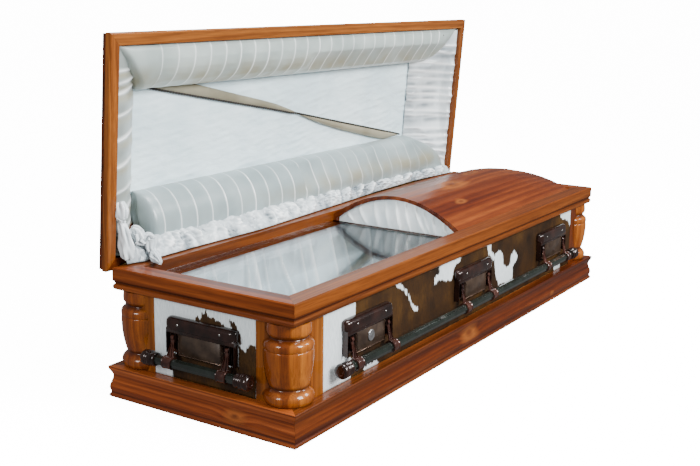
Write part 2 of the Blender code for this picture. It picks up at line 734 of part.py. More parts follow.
def add_handles():
    """Plates on all four sides, and one swinging handle for each side."""
    side_plates = (-PLATE_SPACING, 0.0, PLATE_SPACING)
    for side, turn in SIDES.items():
        along_x = side in ("front", "back")
        centres = side_plates if along_x else (0.0,)
        face = (BODY_Y if along_x else BODY_X) + GAP
        angle = math.radians(turn)
        cosine, sine = round(math.cos(angle), 9), round(math.sin(angle), 9)

        def placed(along, out):
            """A place on this side, from its run along the side and its reach outwards."""
            return (along * cosine + out * sine, along * sine - out * cosine, 0.0)

        for k, along in enumerate(centres):
            name = f"handle_plate_{side}_{k + 1}" if along_x else f"handle_plate_{side}"
            add_mesh(name, handle_plate(), "bronze", location=placed(along, face), turn=turn, smooth=30)
        arms = [c + s * ARM_OFFSET for c in centres for s in (-1, 1)]
        length = SIDE_BAR_LENGTH if along_x else END_BAR_LENGTH
        x, y, _ = placed(0.0, face + PIVOT_OUT)
        handle = swing_handle(length, arms)
        add_mesh(f"handle_{side}", handle, "bar", location=(x, y, PIVOT_Z), turn=turn, smooth=30)
    disc_y = -(BODY_Y + GAP + PLATE_DEPTH + GAP)
    disc_z = (PLATE_LOW_Z + PLATE_HIGH_Z - HOOD_HEIGHT) / 2
    disc = turned(((DISC_R, 0.0), (DISC_R, DISC_THICKNESS)), 0.0, 0.0, 20)
    for vert in disc.verts:
        x, y, z = vert.co
        vert.co = (-PLATE_SPACING + x, disc_y - z, disc_z + y)
    add_mesh("plate_disc", disc, "disc", smooth=35)


def build():
    """Make every piece."""
    clear_scene()
    add_frame("plinth", plinth_profile(), HALF_X, HALF_Y, "wood")
    add_frame("cornice", cornice_profile(), HALF_X, HALF_Y, "wood")
    add_box_parts()
    add_covers()
    add_lining()
    lid = bpy.data.objects.new("lid_pivot", None)
    bpy.context.scene.collection.objects.link(lid)
    lid.location = (0.0, HINGE_Y, HINGE_Z)
    lid.rotation_euler = (math.radians(-LID_OPEN_DEG), 0.0, 0.0)
    add_lid_wood(lid)
    add_lid_lining(lid)
    add_hinge(lid)
    add_handles()


build()
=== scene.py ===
"""The looks of a wooden casket: varnished pine, pleated satin, glass, cowhide and bronze handles.

Metres, +Z up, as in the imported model: +X runs to the foot end, the front faces -Y and the lid is
hinged on the +Y side. A lid piece is worked out with the lid shut and then turned open.
"""

import json
import math

import bmesh
import bpy
import numpy as np
from mathutils import Matrix, Vector


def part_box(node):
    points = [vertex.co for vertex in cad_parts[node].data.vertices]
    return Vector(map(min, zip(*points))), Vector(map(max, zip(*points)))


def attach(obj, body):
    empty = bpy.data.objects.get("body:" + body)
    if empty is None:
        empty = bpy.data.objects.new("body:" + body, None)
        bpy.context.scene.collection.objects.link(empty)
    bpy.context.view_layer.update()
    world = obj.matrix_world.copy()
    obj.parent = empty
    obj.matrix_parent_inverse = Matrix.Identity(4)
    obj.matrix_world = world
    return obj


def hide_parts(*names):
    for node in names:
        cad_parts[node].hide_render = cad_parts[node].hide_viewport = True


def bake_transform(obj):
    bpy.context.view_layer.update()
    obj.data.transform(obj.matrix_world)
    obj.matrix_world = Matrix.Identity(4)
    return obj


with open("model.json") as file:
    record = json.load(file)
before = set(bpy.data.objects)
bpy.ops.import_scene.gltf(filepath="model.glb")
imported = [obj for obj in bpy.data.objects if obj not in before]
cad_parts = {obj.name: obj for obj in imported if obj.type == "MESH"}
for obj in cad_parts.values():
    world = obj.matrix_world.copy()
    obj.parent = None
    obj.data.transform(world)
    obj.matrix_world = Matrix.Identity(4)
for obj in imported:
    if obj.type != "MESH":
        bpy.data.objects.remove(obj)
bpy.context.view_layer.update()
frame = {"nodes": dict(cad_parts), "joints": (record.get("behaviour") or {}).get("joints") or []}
NODES = frame["nodes"]
JOINTS = {joint["name"]: joint for joint in frame["joints"]}

# Camera: the photograph's place and angles
CAMERA_PLACE = (-3.0585, -1.7946, 1.1324)
CAMERA_YAW = 57.168
CAMERA_PITCH = 12.806
CAMERA_ROLL = 0.800
CAMERA_LENS = 55.73

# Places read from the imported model
GAP = 0.0003
RIM_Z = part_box("cornice_front")[1][2]
FACE_Y = -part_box("hide_panel_front")[0][1]
FACE_X = -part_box("hide_panel_head")[0][0]
PIVOT = np.array(JOINTS["lid_hinge"]["pos_m"], float)
LID_OPEN = math.radians(JOINTS["lid_hinge"]["range_deg"][1])
MATING_Z = RIM_Z + 0.0005
LID_X = 1.005
LID_Y = 0.325
PANEL_Z = 0.4755
GLASS_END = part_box("glass_pane")[1][0]
TURNS = {"front": 0.0, "foot": 90.0, "back": 180.0, "head": 270.0}


# Shapes

def smooth_line(points, steps):
    """A curve through the points: between two of them a cubic takes its slopes from the neighbours."""
    p = np.asarray(points, float)
    run = np.vstack([2 * p[0] - p[1], p, 2 * p[-1] - p[-2]])
    t = np.linspace(0, 1, steps, endpoint=False)[:, None]
    a, b, c, d = (run[k:len(run) - 3 + k][:, None, :] for k in range(4))
    bend = 2 * b + (c - a) * t + (2 * a - 5 * b + 4 * c - d) * t**2 + (3 * b - a - 3 * c + d) * t**3
    return np.vstack([(0.5 * bend).reshape(-1, p.shape[1]), p[-1:]])


def spin(profile, centre, sides, axis="z"):
    """A profile of radius and height carried round a vertical axis, or round a line along X."""
    profile = np.asarray(profile, float)
    angle = np.linspace(0, 2 * np.pi, sides, endpoint=False)
    radius, height = profile[:, :1], np.repeat(profile[:, 1:2], sides, axis=1)
    first, second = radius * np.cos(angle), radius * np.sin(angle)
    order = (first, second, height) if axis == "z" else (height, first, second)
    return np.stack(order, -1) + np.asarray(centre, float)


def tube(path, radius, sides=10):
    """A round section carried along a path: the section stands square to the path at each point."""
    path = np.asarray(path, float)
    radius = np.broadcast_to(np.asarray(radius, float), (len(path),))
    along = np.gradient(path, axis=0)
    along /= np.linalg.norm(along, axis=1, keepdims=True)
    guide = np.where(np.abs(along[:, 2:3]) > 0.9, [[1.0, 0.0, 0.0]], [[0.0, 0.0, 1.0]])
    side = np.cross(along, guide)
    side /= np.linalg.norm(side, axis=1, keepdims=True)
    up = np.cross(side, along)
    angle = np.linspace(0, 2 * np.pi, sides, endpoint=False)[None, :, None]
    ring = side[:, None] * np.cos(angle) + up[:, None] * np.sin(angle)
    return path[:, None] + ring * radius[:, None, None]


def turned(points, degrees):
    """Points turned about the vertical axis through the origin."""
    angle = math.radians(degrees)
    cosine, sine = math.cos(angle), math.sin(angle)
    points = np.asarray(points, float)
    x = points[..., 0] * cosine - points[..., 1] * sine
    y = points[..., 0] * sine + points[..., 1] * cosine
    return np.stack([x, y, points[..., 2]], -1)


def opened(points):
    """Points given with the lid shut, turned to where they are with the lid open."""
    points = np.asarray(points, float)
    y, z = points[..., 1] - PIVOT[1], points[..., 2] - PIVOT[2]
    cosine, sine = math.cos(LID_OPEN), math.sin(LID_OPEN)
    return np.stack([points[..., 0], PIVOT[1] + y * cosine + z * sine, PIVOT[2] - y * sine + z * cosine], -1)


def waves(values, seed, count=6, low=1.0, high=8.0):
    """A smooth uneven line: a sum of sines whose lengths and starts come from one seed, about 1 high."""
    chance = np.random.default_rng(seed)
    total = np.zeros_like(np.asarray(values, float))
    for pitch, start, size in zip(chance.uniform(low, high, count), chance.uniform(0, 6.28, count),
                                  chance.uniform(0.5, 1.0, count)):
        total += size * np.sin(2 * np.pi * pitch * values + start)
    return total / math.sqrt(count)


def crumple(x, y, seed, scale, count=10):
    """An uneven field over two directions: a sum of plane waves turned every way, about 1 high."""
    chance = np.random.default_rng(seed)
    total = np.zeros(np.broadcast(x, y).shape)
    for turn, pitch, start in zip(chance.uniform(0, np.pi, count), chance.uniform(0.5, 1.6, count),
                                  chance.uniform(0, 6.28, count)):
        total += np.sin(scale * pitch * (x * np.cos(turn) + y * np.sin(turn)) + start)
    return total / math.sqrt(count)


def corners(name):
    """The low and the high corner of a CAD node's box."""
    return np.array(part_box(name))


class Patch:
    """A grid of points that becomes faces: wrap joins its last column to its first, cap fills both ends."""

    def __init__(self, points, wrap=False, cap=False):
        self.points = np.asarray(points, float)
        self.wrap = wrap
        self.cap = cap


def closed(points):
    """A grid that wraps round and is filled at both ends."""
    return Patch(points, wrap=True, cap=True)


def patch_faces(patch, start):
    """Quads between neighbours of the grid, the rings' own filling faces, and each corner's place in metres."""
    rows, columns = patch.points.shape[:2]
    index = start + np.arange(rows * columns).reshape(rows, columns)
    points = patch.points
    if patch.wrap:
        index = np.hstack([index, index[:, :1]])
        points = np.concatenate([points, points[:, :1]], axis=1)
    long = np.linalg.norm(np.diff(points, axis=0), axis=2).mean(1)
    wide = np.linalg.norm(np.diff(points, axis=1), axis=2).mean(0)
    u = np.concatenate([[0], np.cumsum(long)])
    v = np.concatenate([[0], np.cumsum(wide)])
    corner = [(0, 0), (0, 1), (1, 1), (1, 0)]
    grow = (index.shape[0] - 1, index.shape[1] - 1)
    quads = np.stack([index[a:a + grow[0], b:b + grow[1]] for a, b in corner], -1).reshape(-1, 4)
    place = np.stack([np.stack(np.meshgrid(u[a:a + grow[0]], v[b:b + grow[1]], indexing="ij"), -1)
                      for a, b in corner], 2).reshape(-1, 2)
    faces = quads.tolist()
    if patch.cap:
        ring = start + np.arange(rows * columns).reshape(rows, columns)
        faces += [ring[0, ::-1].tolist(), ring[-1].tolist()]
        place = np.vstack([place, np.zeros((2 * columns, 2))])
    return faces, place


def piece(name, patches, material, body="root", cad=(), crease=40, thick=None):
    """One piece from its grids, with its material, riding on a body and standing for its CAD nodes."""
    points, faces, places = [], [], []
    for patch in patches:
        start = sum(len(block) for block in points)
        new_faces, place = patch_faces(patch, start)
        points.append(patch.points.reshape(-1, 3))
        faces += new_faces
        places.append(place)
    mesh = bpy.data.meshes.new(name)
    mesh.from_pydata(np.vstack(points), [], faces)
    layer = mesh.uv_layers.new(name="cloth")
    layer.data.foreach_set("uv", np.vstack(places).astype(np.float32).ravel())
    if all(patch.cap for patch in patches):
        face_out(mesh)
    mesh.shade_smooth()
    mesh.set_sharp_from_angle(angle=math.radians(crease))
    mesh.materials.append(material)
    item = bpy.data.objects.new(name, mesh)
    bpy.context.scene.collection.objects.link(item)
    if thick:
        shell = item.modifiers.new("Solidify", "SOLIDIFY")
        shell.thickness = thick
        shell.offset = 0.0
    if body:
        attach(item, body)
    if cad:
        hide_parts(*cad)
    return item


def mark(item, name, values):
    """Store one number on each point of a piece, for its material to read."""
    item.data.attributes.new(name, "FLOAT", "POINT").data.foreach_set("value", np.asarray(values, np.float32).ravel())


def face_out(mesh):
    """Turn every face of a closed mesh outwards."""
    shape = bmesh.new()
    shape.from_mesh(mesh)
    bmesh.ops.recalc_face_normals(shape, faces=shape.faces)
    shape.to_mesh(mesh)
    shape.free()


# Materials

def colour(hex_value):
    """A colour written as sRGB hex, turned to the linear values that a shader takes."""
    parts = [int(hex_value[k:k + 2], 16) / 255 for k in (1, 3, 5)]
    linear = [p / 12.92 if p <= 0.04045 else ((p + 0.055) / 1.055) ** 2.4 for p in parts]
    return (*linear, 1.0)


def node(tree, kind, inputs=(), out=0, stops=(), **settings):
    """Add one node: its inputs take values or links, a ramp takes its stops, and the asked output comes back."""
    made = tree.nodes.new("ShaderNode" + kind)
    for name, value in settings.items():
        setattr(made, name, value)
    for name, value in inputs.items() if isinstance(inputs, dict) else enumerate(inputs):
        if isinstance(value, bpy.types.NodeSocket):
            tree.links.new(value, made.inputs[name])
        else:
            made.inputs[name].default_value = value
    while len(stops) > len(made.color_ramp.elements if stops else ()):
        made.color_ramp.elements.new(0.5)
    for element, (place, value) in zip(made.color_ramp.elements if stops else (), stops):
        element.position = place
        element.color = colour(value)
    return made.outputs[out]


def start_material(name):
    """An empty material with its Principled shader."""
    material = bpy.data.materials.new(name)
    material.use_nodes = True
    tree = material.node_tree
    return material, tree, tree.nodes["Principled BSDF"]


def dress(tree, shader, values):
    """Give the shader's own sockets their values or links."""
    for name, value in values.items():
        if isinstance(value, bpy.types.NodeSocket):
            tree.links.new(value, shader.inputs[name])
        else:
            shader.inputs[name].default_value = value


def stretched_noise(tree, place, scale, size, detail=4.0, roughness=0.55):
    """Noise read at a place that is first scaled by three factors."""
    moved = node(tree, "Mapping", {"Vector": place, "Scale": scale})
    return node(tree, "TexNoise", {"Vector": moved, "Scale": size, "Detail": detail, "Roughness": roughness})


GRAIN = {"x": (0.035, 1.0, 1.0), "y": (1.0, 0.035, 1.0), "z": (1.0, 1.0, 0.035)}


def pine(name, grain, pale="#9a5a20", middle="#7c4416", dark="#4a2009", pith=(0.0, 0.31, -0.42), knots=(),
         painted_shade_lines=(), seed=0.0, ring=0.016, gloss=0.10, coat=0.45):
    """Stained pine under thick gloss varnish: broad growth rings, fine pores, dark knots.

    The rings are cylinders about the board's pith, pulled long with the grain, so a flat face
    shows them as long flames. The varnish is a clear coat, which gives the sharp reflections.
    """
    material, tree, shader = start_material(name)
    place = node(tree, "TexCoord", out="Object")
    along = GRAIN[grain]
    shifted = node(tree, "Mapping", {"Vector": place, "Location": tuple(p + seed for p in pith)})
    bend = stretched_noise(tree, shifted, tuple(a * 2.2 for a in along), 3.0, 3.0)
    fine_bend = stretched_noise(tree, shifted, tuple(a * 5 for a in along), 6.0, 2.0)
    across = tuple(0.0 if a < 1 else 1.0 for a in along)
    flat = node(tree, "VectorMath", {0: shifted, 1: across}, operation="MULTIPLY")
    distance = node(tree, "VectorMath", {0: flat}, "Value", operation="LENGTH")
    pulled = node(tree, "Math", (bend, 0.16), operation="MULTIPLY")
    pulled_fine = node(tree, "Math", (fine_bend, 0.020), operation="MULTIPLY")
    warp = node(tree, "Math", (pulled, pulled_fine), operation="ADD")
    knot_mask = glow = None
    for centre, radius in knots:
        gap = node(tree, "VectorMath", {0: place, 1: centre}, operation="SUBTRACT")
        round_gap = node(tree, "VectorMath", {0: gap, 1: tuple(0.45 if a < 1 else 1.0 for a in along)},
                         operation="MULTIPLY")
        far = node(tree, "VectorMath", {0: round_gap}, "Value", operation="LENGTH")
        near = node(tree, "MapRange", {"Value": far, "From Min": radius * 4.0, "From Max": 0.0})
        push = node(tree, "Math", (node(tree, "Math", (near, 2.0), operation="POWER"), radius * 2.4),
                    operation="MULTIPLY")
        warp = node(tree, "Math", (warp, push), operation="ADD")
        far = node(tree, "Math", (far, node(tree, "Math", (node(tree, "Math", (fine_bend, 0.5), operation="SUBTRACT"),
                                                           radius * 2.6), operation="MULTIPLY")), operation="ADD")
        core = node(tree, "MapRange", {"Value": far, "From Min": radius, "From Max": radius * 0.35})
        halo = node(tree, "MapRange", {"Value": far, "From Min": radius * 2.2, "From Max": radius * 0.9})
        knot_mask = core if knot_mask is None else node(tree, "Math", (knot_mask, core), operation="MAXIMUM")
        glow = halo if glow is None else node(tree, "Math", (glow, halo), operation="MAXIMUM")
    ring_place = node(tree, "Math", (distance, warp), operation="ADD")
    turns = node(tree, "Math", (ring_place, 1 / ring), operation="MULTIPLY")
    part = node(tree, "Math", (turns,), operation="FRACT")
    rings = node(tree, "ValToRGB", (part,), stops=[(0.0, pale), (0.35, middle), (0.74, dark), (0.86, middle),
                                                   (1.0, pale)])
    cloud = stretched_noise(tree, shifted, tuple(a * 4 for a in along), 5.0, 4.0)
    board = node(tree, "ValToRGB", (cloud,), stops=[(0.30, dark), (0.47, middle), (0.70, pale)])
    base = node(tree, "Mix", {0: 0.52, 6: rings, 7: board}, 2, data_type="RGBA")
    pores = stretched_noise(tree, place, tuple(a * 1.1 for a in along), 260.0, 3.0)
    streak = node(tree, "ValToRGB", (pores,), stops=[(0.36, "#b0a6a0"), (0.56, "#ffffff")])
    base = node(tree, "Mix", {0: 0.5, 6: base, 7: streak}, 2, data_type="RGBA", blend_type="MULTIPLY")
    tone = stretched_noise(tree, shifted, tuple(a * 2.4 for a in along), 3.4, 3.0)
    veil = node(tree, "ValToRGB", (tone,), stops=[(0.36, "#a8785e"), (0.50, "#e6d6c8"), (0.62, "#ffffff")])
    base = node(tree, "Mix", {0: 0.85, 6: base, 7: veil}, 2, data_type="RGBA", blend_type="MULTIPLY")
    if knot_mask is not None:
        base = node(tree, "Mix", {0: node(tree, "Math", (glow, 0.38), operation="MULTIPLY"), 6: base,
                                  7: colour("#a8652c")}, 2, data_type="RGBA")
        base = node(tree, "Mix", {0: node(tree, "Math", (knot_mask, 0.75), operation="MULTIPLY"), 6: base,
                                  7: colour("#4a200c")}, 2, data_type="RGBA")
    # Painted shade: bands at set heights are darkened towards a near-black brown, in the grooves of the mouldings and
    # turnings and on the rim's flat top.
    if painted_shade_lines:
        height = node(tree, "SeparateXYZ", {0: place}, "Z")
        for line, reach, depth in painted_shade_lines:
            away = node(tree, "Math", (node(tree, "Math", (height, line), operation="SUBTRACT"),),
                        operation="ABSOLUTE")
            mask = node(tree, "MapRange", {"Value": away, "From Min": reach, "From Max": 0.0, "To Min": 0.0,
                                           "To Max": depth})
            base = node(tree, "Mix", {0: mask, 6: base, 7: colour("#2c0d05")}, 2, data_type="RGBA")
    dress(tree, shader, {"Base Color": base, "Roughness": 0.42, "Specular IOR Level": 0.08, "Coat Weight": coat,
                         "Coat Roughness": gloss})
    bump = node(tree, "Bump", {"Height": pores, "Strength": 0.10, "Distance": 0.0004})
    dress(tree, shader, {"Normal": bump})
    return material


def satin(name, pale="#eef1f1", shade="#d2d9da", crinkle=0.0, crinkle_scale=(1.0, 1.0, 1.0), creases=False,
          painted_shade="#b5a883"):
    """White acetate satin: a close weave with a soft gloss that draws bright lines along each fold.

    The weave is drawn as 1.2 mm threads, coarser than the real ones, so that it shows. A piece's
    own attributes say where a crease takes a painted highlight and where the cloth takes painted shade.
    """
    material, tree, shader = start_material(name)
    place = node(tree, "TexCoord", out="Object")
    cloth = node(tree, "UVMap", uv_map="cloth")
    cloud = stretched_noise(tree, place, (1.0, 1.0, 1.0), 6.0, 3.0)
    base = node(tree, "ValToRGB", (cloud,), stops=[(0.35, shade), (0.62, pale)])
    if creases:
        spots = stretched_noise(tree, place, (1.0, 1.0, 1.0), 11.0, 2.0)
        # Painted shade: the cloth is mixed towards its shade colour as far as the piece's stored shade value says,
        # broken up by noise.
        shade_amount = node(tree, "Attribute", out="Fac", attribute_name="painted_shade", attribute_type="GEOMETRY")
        patchy = node(tree, "MapRange", {"Value": spots, "From Min": 0.36, "From Max": 0.62, "To Min": 0.25,
                                         "To Max": 1.0})
        base = node(tree, "Mix", {0: node(tree, "Math", (shade_amount, patchy), operation="MULTIPLY"), 6: base,
                                  7: colour(painted_shade)}, 2, data_type="RGBA")
        # Painted highlight: the cloth is mixed towards near white along each crease.
        crease = node(tree, "Attribute", out="Fac", attribute_name="crease", attribute_type="GEOMETRY")
        base = node(tree, "Mix", {0: crease, 6: base, 7: colour("#fdffff")}, 2, data_type="RGBA")
    dress(tree, shader, {"Base Color": base, "Roughness": 0.30, "Specular IOR Level": 0.6, "Sheen Weight": 0.25,
                         "Sheen Roughness": 0.3})
    thread = stretched_noise(tree, cloth, (1.0, 0.12, 1.0), 830.0, 2.0)
    bump = node(tree, "Bump", {"Height": thread, "Strength": 0.08, "Distance": 0.0003})
    if crinkle:
        fold = stretched_noise(tree, place, crinkle_scale, 42.0, 5.0, 0.6)
        bump = node(tree, "Bump", {"Height": fold, "Strength": crinkle, "Distance": 0.004, "Normal": bump})
    dress(tree, shader, {"Normal": bump})
    return material


def painted(name, base_hex, light_hex, roughness, metallic, coat=0.0, skin=0.04):
    """A hard finish with faint mottling and a fine orange-peel skin, as strong as skin says."""
    material, tree, shader = start_material(name)
    place = node(tree, "TexCoord", out="Object")
    cloud = stretched_noise(tree, place, (1.0, 1.0, 1.0), 28.0, 5.0)
    dress(tree, shader, {"Base Color": node(tree, "ValToRGB", (cloud,), stops=[(0.35, base_hex), (0.7, light_hex)])})
    worn = stretched_noise(tree, place, (1.0, 1.0, 1.0), 60.0, 4.0)
    rough = node(tree, "MapRange", {"Value": worn, "From Min": 0.3, "From Max": 0.7, "To Min": roughness * 0.88,
                                    "To Max": roughness * 1.15})
    dress(tree, shader, {"Roughness": rough, "Metallic": metallic, "Coat Weight": coat, "Coat Roughness": 0.08})
    peel = stretched_noise(tree, place, (1.0, 1.0, 1.0), 900.0, 2.0)
    bump = node(tree, "Bump", {"Height": peel, "Strength": skin, "Distance": 0.0003})
    dress(tree, shader, {"Normal": bump})
    return material


def cowhide(name):
    """Brown and white cowhide with short hair: each piece's own attribute says where the white is.

    The attribute is how far a point lies inside the white in centimetres. Noise pulled along the
    lie of the hair makes the border ragged, and hairs are drawn 1 mm wide so that they show.
    """
    material, tree, shader = start_material(name)
    place = node(tree, "TexCoord", out="Object")
    white = node(tree, "Attribute", out="Fac", attribute_name="white", attribute_type="GEOMETRY")
    tuft = stretched_noise(tree, place, (1.0, 1.0, 0.16), 120.0, 4.0, 0.65)
    hair = stretched_noise(tree, place, (1.0, 1.0, 0.07), 620.0, 4.0, 0.7)
    ragged = node(tree, "Math", (node(tree, "Math", (tuft, 0.5), operation="SUBTRACT"), 3.2), operation="MULTIPLY")
    edge = node(tree, "Math", (white, ragged), operation="ADD")
    mask = node(tree, "MapRange", {"Value": edge, "From Min": -0.10, "From Max": 0.10})
    blotch = stretched_noise(tree, place, (1.0, 1.0, 0.7), 9.0, 4.0)
    brown = node(tree, "ValToRGB", (blotch,), stops=[(0.32, "#201204"), (0.52, "#3b2408"), (0.72, "#573a10")])
    strands = node(tree, "ValToRGB", (hair,), stops=[(0.35, "#5a5248"), (0.65, "#ffffff")])
    brown = node(tree, "Mix", {0: 0.7, 6: brown, 7: strands}, 2, data_type="RGBA", blend_type="MULTIPLY")
    pale = node(tree, "ValToRGB", (hair,), stops=[(0.3, "#b3bfc3"), (0.6, "#dfe6e8")])
    dress(tree, shader, {"Base Color": node(tree, "Mix", {0: mask, 6: brown, 7: pale}, 2, data_type="RGBA"),
                         "Roughness": 0.60, "Specular IOR Level": 0.25})
    bump = node(tree, "Bump", {"Height": hair, "Strength": 0.55, "Distance": 0.0012})
    dress(tree, shader, {"Normal": bump})
    return material


def clear_glass(name):
    """Plain 6 mm float glass: clear from above, a mirror at a low angle, and dark along its ground end."""
    material, tree, shader = start_material(name)
    place = node(tree, "TexCoord", out="Object")
    along = node(tree, "SeparateXYZ", {0: place}, "X")
    ground = node(tree, "MapRange", {"Value": along, "From Min": GLASS_END - 0.0028, "From Max": GLASS_END - 0.0022})
    dress(tree, shader, {"Base Color": node(tree, "Mix", {0: ground, 6: colour("#f4f8f8"), 7: colour("#4a2c1e")}, 2,
                                            data_type="RGBA"), "Metallic": 1.0})
    smear = stretched_noise(tree, place, (1.0, 1.0, 1.0), 5.0, 3.0)
    rough = node(tree, "MapRange", {"Value": smear, "From Min": 0.3, "From Max": 0.7, "To Min": 0.0, "To Max": 0.03})
    dress(tree, shader, {"Roughness": rough})
    bounce = node(tree, "Fresnel", {"IOR": 1.5})
    thin = node(tree, "Math", (bounce, 0.24), operation="MULTIPLY", use_clamp=True)
    dress(tree, shader, {"Alpha": node(tree, "Math", (thin, ground), operation="MAXIMUM")})
    return material


# Pine tones for the end faces, kept apart from the sides' pine: lit copies, painted lighter than the sides' tones
# (the plinth's by far) as painted light on the ends.
END_TONES = {"pale": "#8d4a1e", "middle": "#713612", "dark": "#42180a"}
PLINTH_TONES = {"pale": "#b46430", "middle": "#934b1e", "dark": "#5e2913"}
# Heights, widths and strengths of the painted shade bands: the rim's grooves and flat top, the plinth's grooves, and
# rings round the columns.
GROOVES = ((0.3340, 0.0085, 0.9), (0.3108, 0.004, 0.7), (0.3768, 0.0022, 0.95))
PLINTH_GROOVES = ((0.0150, 0.005, 0.85), (0.0895, 0.003, 0.6), (0.064, 0.010, 0.3))
COLUMN_GROOVES = ((0.2705, 0.010, 0.9), (0.1375, 0.010, 0.85), (0.095, 0.005, 0.7))
PINE_X = pine("pine_along_x", "x", pale="#955a25", middle="#7a4519", dark="#522a0d", ring=0.02)
PINE_Z_LID = pine("pine_lid_side", "z", pale="#9a5e27", middle="#7e481a", dark="#542b0d", pith=(0.4, 0.3, 0.0),
                  ring=0.02)
PINE_Z = pine("pine_upright", "z", pale="#94571c", middle="#7a4414", dark="#4f250a", pith=(0.4, 0.3, 0.0), ring=0.02)
PINE_RIM_X = pine("pine_rim_along_x", "x", pale="#7e4315", middle="#63320d", dark="#3a1805", painted_shade_lines=GROOVES,
                  seed=0.2, gloss=0.16, coat=0.25)
PINE_RIM_Y = pine("pine_rim_along_y", "y", **END_TONES, painted_shade_lines=GROOVES, seed=0.4, gloss=0.16, coat=0.25)
PINE_PLINTH_X = pine("pine_plinth_along_x", "x", pale="#8a4f1e", middle="#6e3a15", dark="#431f0b",
                     painted_shade_lines=PLINTH_GROOVES, gloss=0.14,
                     knots=(((-0.05, -0.315, 0.055), 0.014), ((0.62, -0.315, 0.030), 0.006)), seed=0.9)
PINE_PLINTH_Y = pine("pine_plinth_along_y", "y", **PLINTH_TONES, painted_shade_lines=PLINTH_GROOVES, gloss=0.14,
                     knots=(((-1.01, -0.125, 0.045), 0.010),), seed=1.3)
PINE_DOME = pine("pine_dome_along_x", "x", pale="#84461d", middle="#6a3212", dark="#4a1d0b", gloss=0.22,
                 knots=(((0.33, -0.03, 0.4531), 0.022), ((0.58, 0.02, 0.45), 0.013), ((0.20, -0.14, 0.424), 0.009)),
                 seed=0.5, ring=0.03)
PINE_COLUMN = pine("pine_turned", "z", pale="#a4601f", middle="#884913", dark="#5c2a0a", pith=(0.97, 0.27, 0.0),
                   painted_shade_lines=COLUMN_GROOVES, ring=0.03, gloss=0.11, coat=0.8)
PINE_LID = pine("pine_lid_top", "x", pale="#6b3313", middle="#4f220b", dark="#2c1005", seed=0.8)
PLAIN_BOARD = pine("pine_board_plain", "x", pale="#a9824f", middle="#93693a", dark="#6f4b26", seed=0.1)
# One white satin in copies with their own greys for the light each place gets: the rolls and the head end are painted
# darker as painted shade, and the wall and the arch under the dome are painted lighter as painted light.
SATIN = satin("satin_white", pale="#a9b4b0", shade="#939f9c", creases=True, painted_shade="#8c866c")
SATIN_LOW = satin("satin_shaded", pale="#8f9d9f", shade="#7c8b8d", creases=True, painted_shade="#86826c")
SATIN_SIDE = satin("satin_side", pale="#8d9592", shade="#7e8583", creases=True, painted_shade="#8e8970")
WALL_SATIN = satin("satin_wall", pale="#d0dfe5", shade="#9aa8b1", creases=True, painted_shade="#6f777e")
CREPE = satin("satin_crepe", pale="#e6faff", shade="#d5ebf2", crinkle=1.0, crinkle_scale=(0.30, 1.0, 1.0))
BRIGHT_SATIN = satin("satin_bright", pale="#d6dee1", shade="#b2bcc1", creases=True, painted_shade="#68737a")
ARCH_SATIN = satin("satin_arch", pale="#fbffff", shade="#dbe6ea", creases=True, painted_shade="#7f8b92")
RIBBON = satin("ribbon_beige", pale="#8f8a76", shade="#77725f")
STITCHES = painted("braid_dark", "#0d0908", "#241a15", 0.6, 0.0)
BRONZE = painted("bronze_lacquered", "#180c0a", "#321c16", 0.22, 0.35, coat=0.5, skin=0.02)
ARM_BRONZE = painted("bronze_copper_worn", "#2a1410", "#553026", 0.24, 0.45, coat=0.6)
# Painted highlight: the border's bronze is lighter and more metallic than the plate's, standing in for light caught
# along its edge.
BRONZE_EDGE = painted("bronze_edge_painted_highlight", "#6b5648", "#93796a", 0.28, 0.7, coat=0.3)
BRONZE_FACE = painted("bronze_satin_face", "#30241c", "#4c3d31", 0.36, 0.35, coat=0.25)
BAR_PAINT = painted("bar_grey_green", "#121713", "#1e2520", 0.24, 0.25, coat=0.6, skin=0.004)
STEEL = painted("screw_steel", "#b9b7b2", "#dedcd8", 0.25, 1.0)
ALUMINIUM = painted("disc_aluminium", "#c9cacd", "#e6e6e8", 0.30, 1.0)
BRASS = painted("hinge_brass", "#6f5b30", "#94793f", 0.35, 1.0)
HIDE = cowhide("cowhide")
GLASS = clear_glass("float_glass")


# Wood that keeps its CAD shape

def dress_wood():
    """Give every plain wooden node the pine whose grain runs along it."""
    for side in ("front", "back"):
        repaint(f"cornice_{side}", PINE_RIM_X)
        repaint(f"plinth_{side}", PINE_PLINTH_X)
        repaint(f"lid_frame_{side}", PINE_X)
        repaint(f"board_{side}", PLAIN_BOARD)
        for end in ("head", "foot"):
            repaint(f"corner_post_{side}_{end}", PLAIN_BOARD)
    for side in ("head", "foot"):
        repaint(f"cornice_{side}", PINE_RIM_Y)
        repaint(f"plinth_{side}", PINE_PLINTH_Y)
        repaint(f"lid_frame_{side}", PINE_Z_LID)
        repaint(f"board_{side}", PLAIN_BOARD)
    repaint("floor_board", PLAIN_BOARD)
    repaint("lid_top", PINE_LID)
    repaint("dome_lid", PINE_DOME)
    repaint("glass_pane", GLASS)
    repaint("hinge_leaf_body", BRASS)
    repaint("hinge_leaf_lid", BRASS)


def repaint(name, material):
    """Give a CAD node another material."""
    for slot in NODES[name].material_slots:
        slot.material = material


# Columns

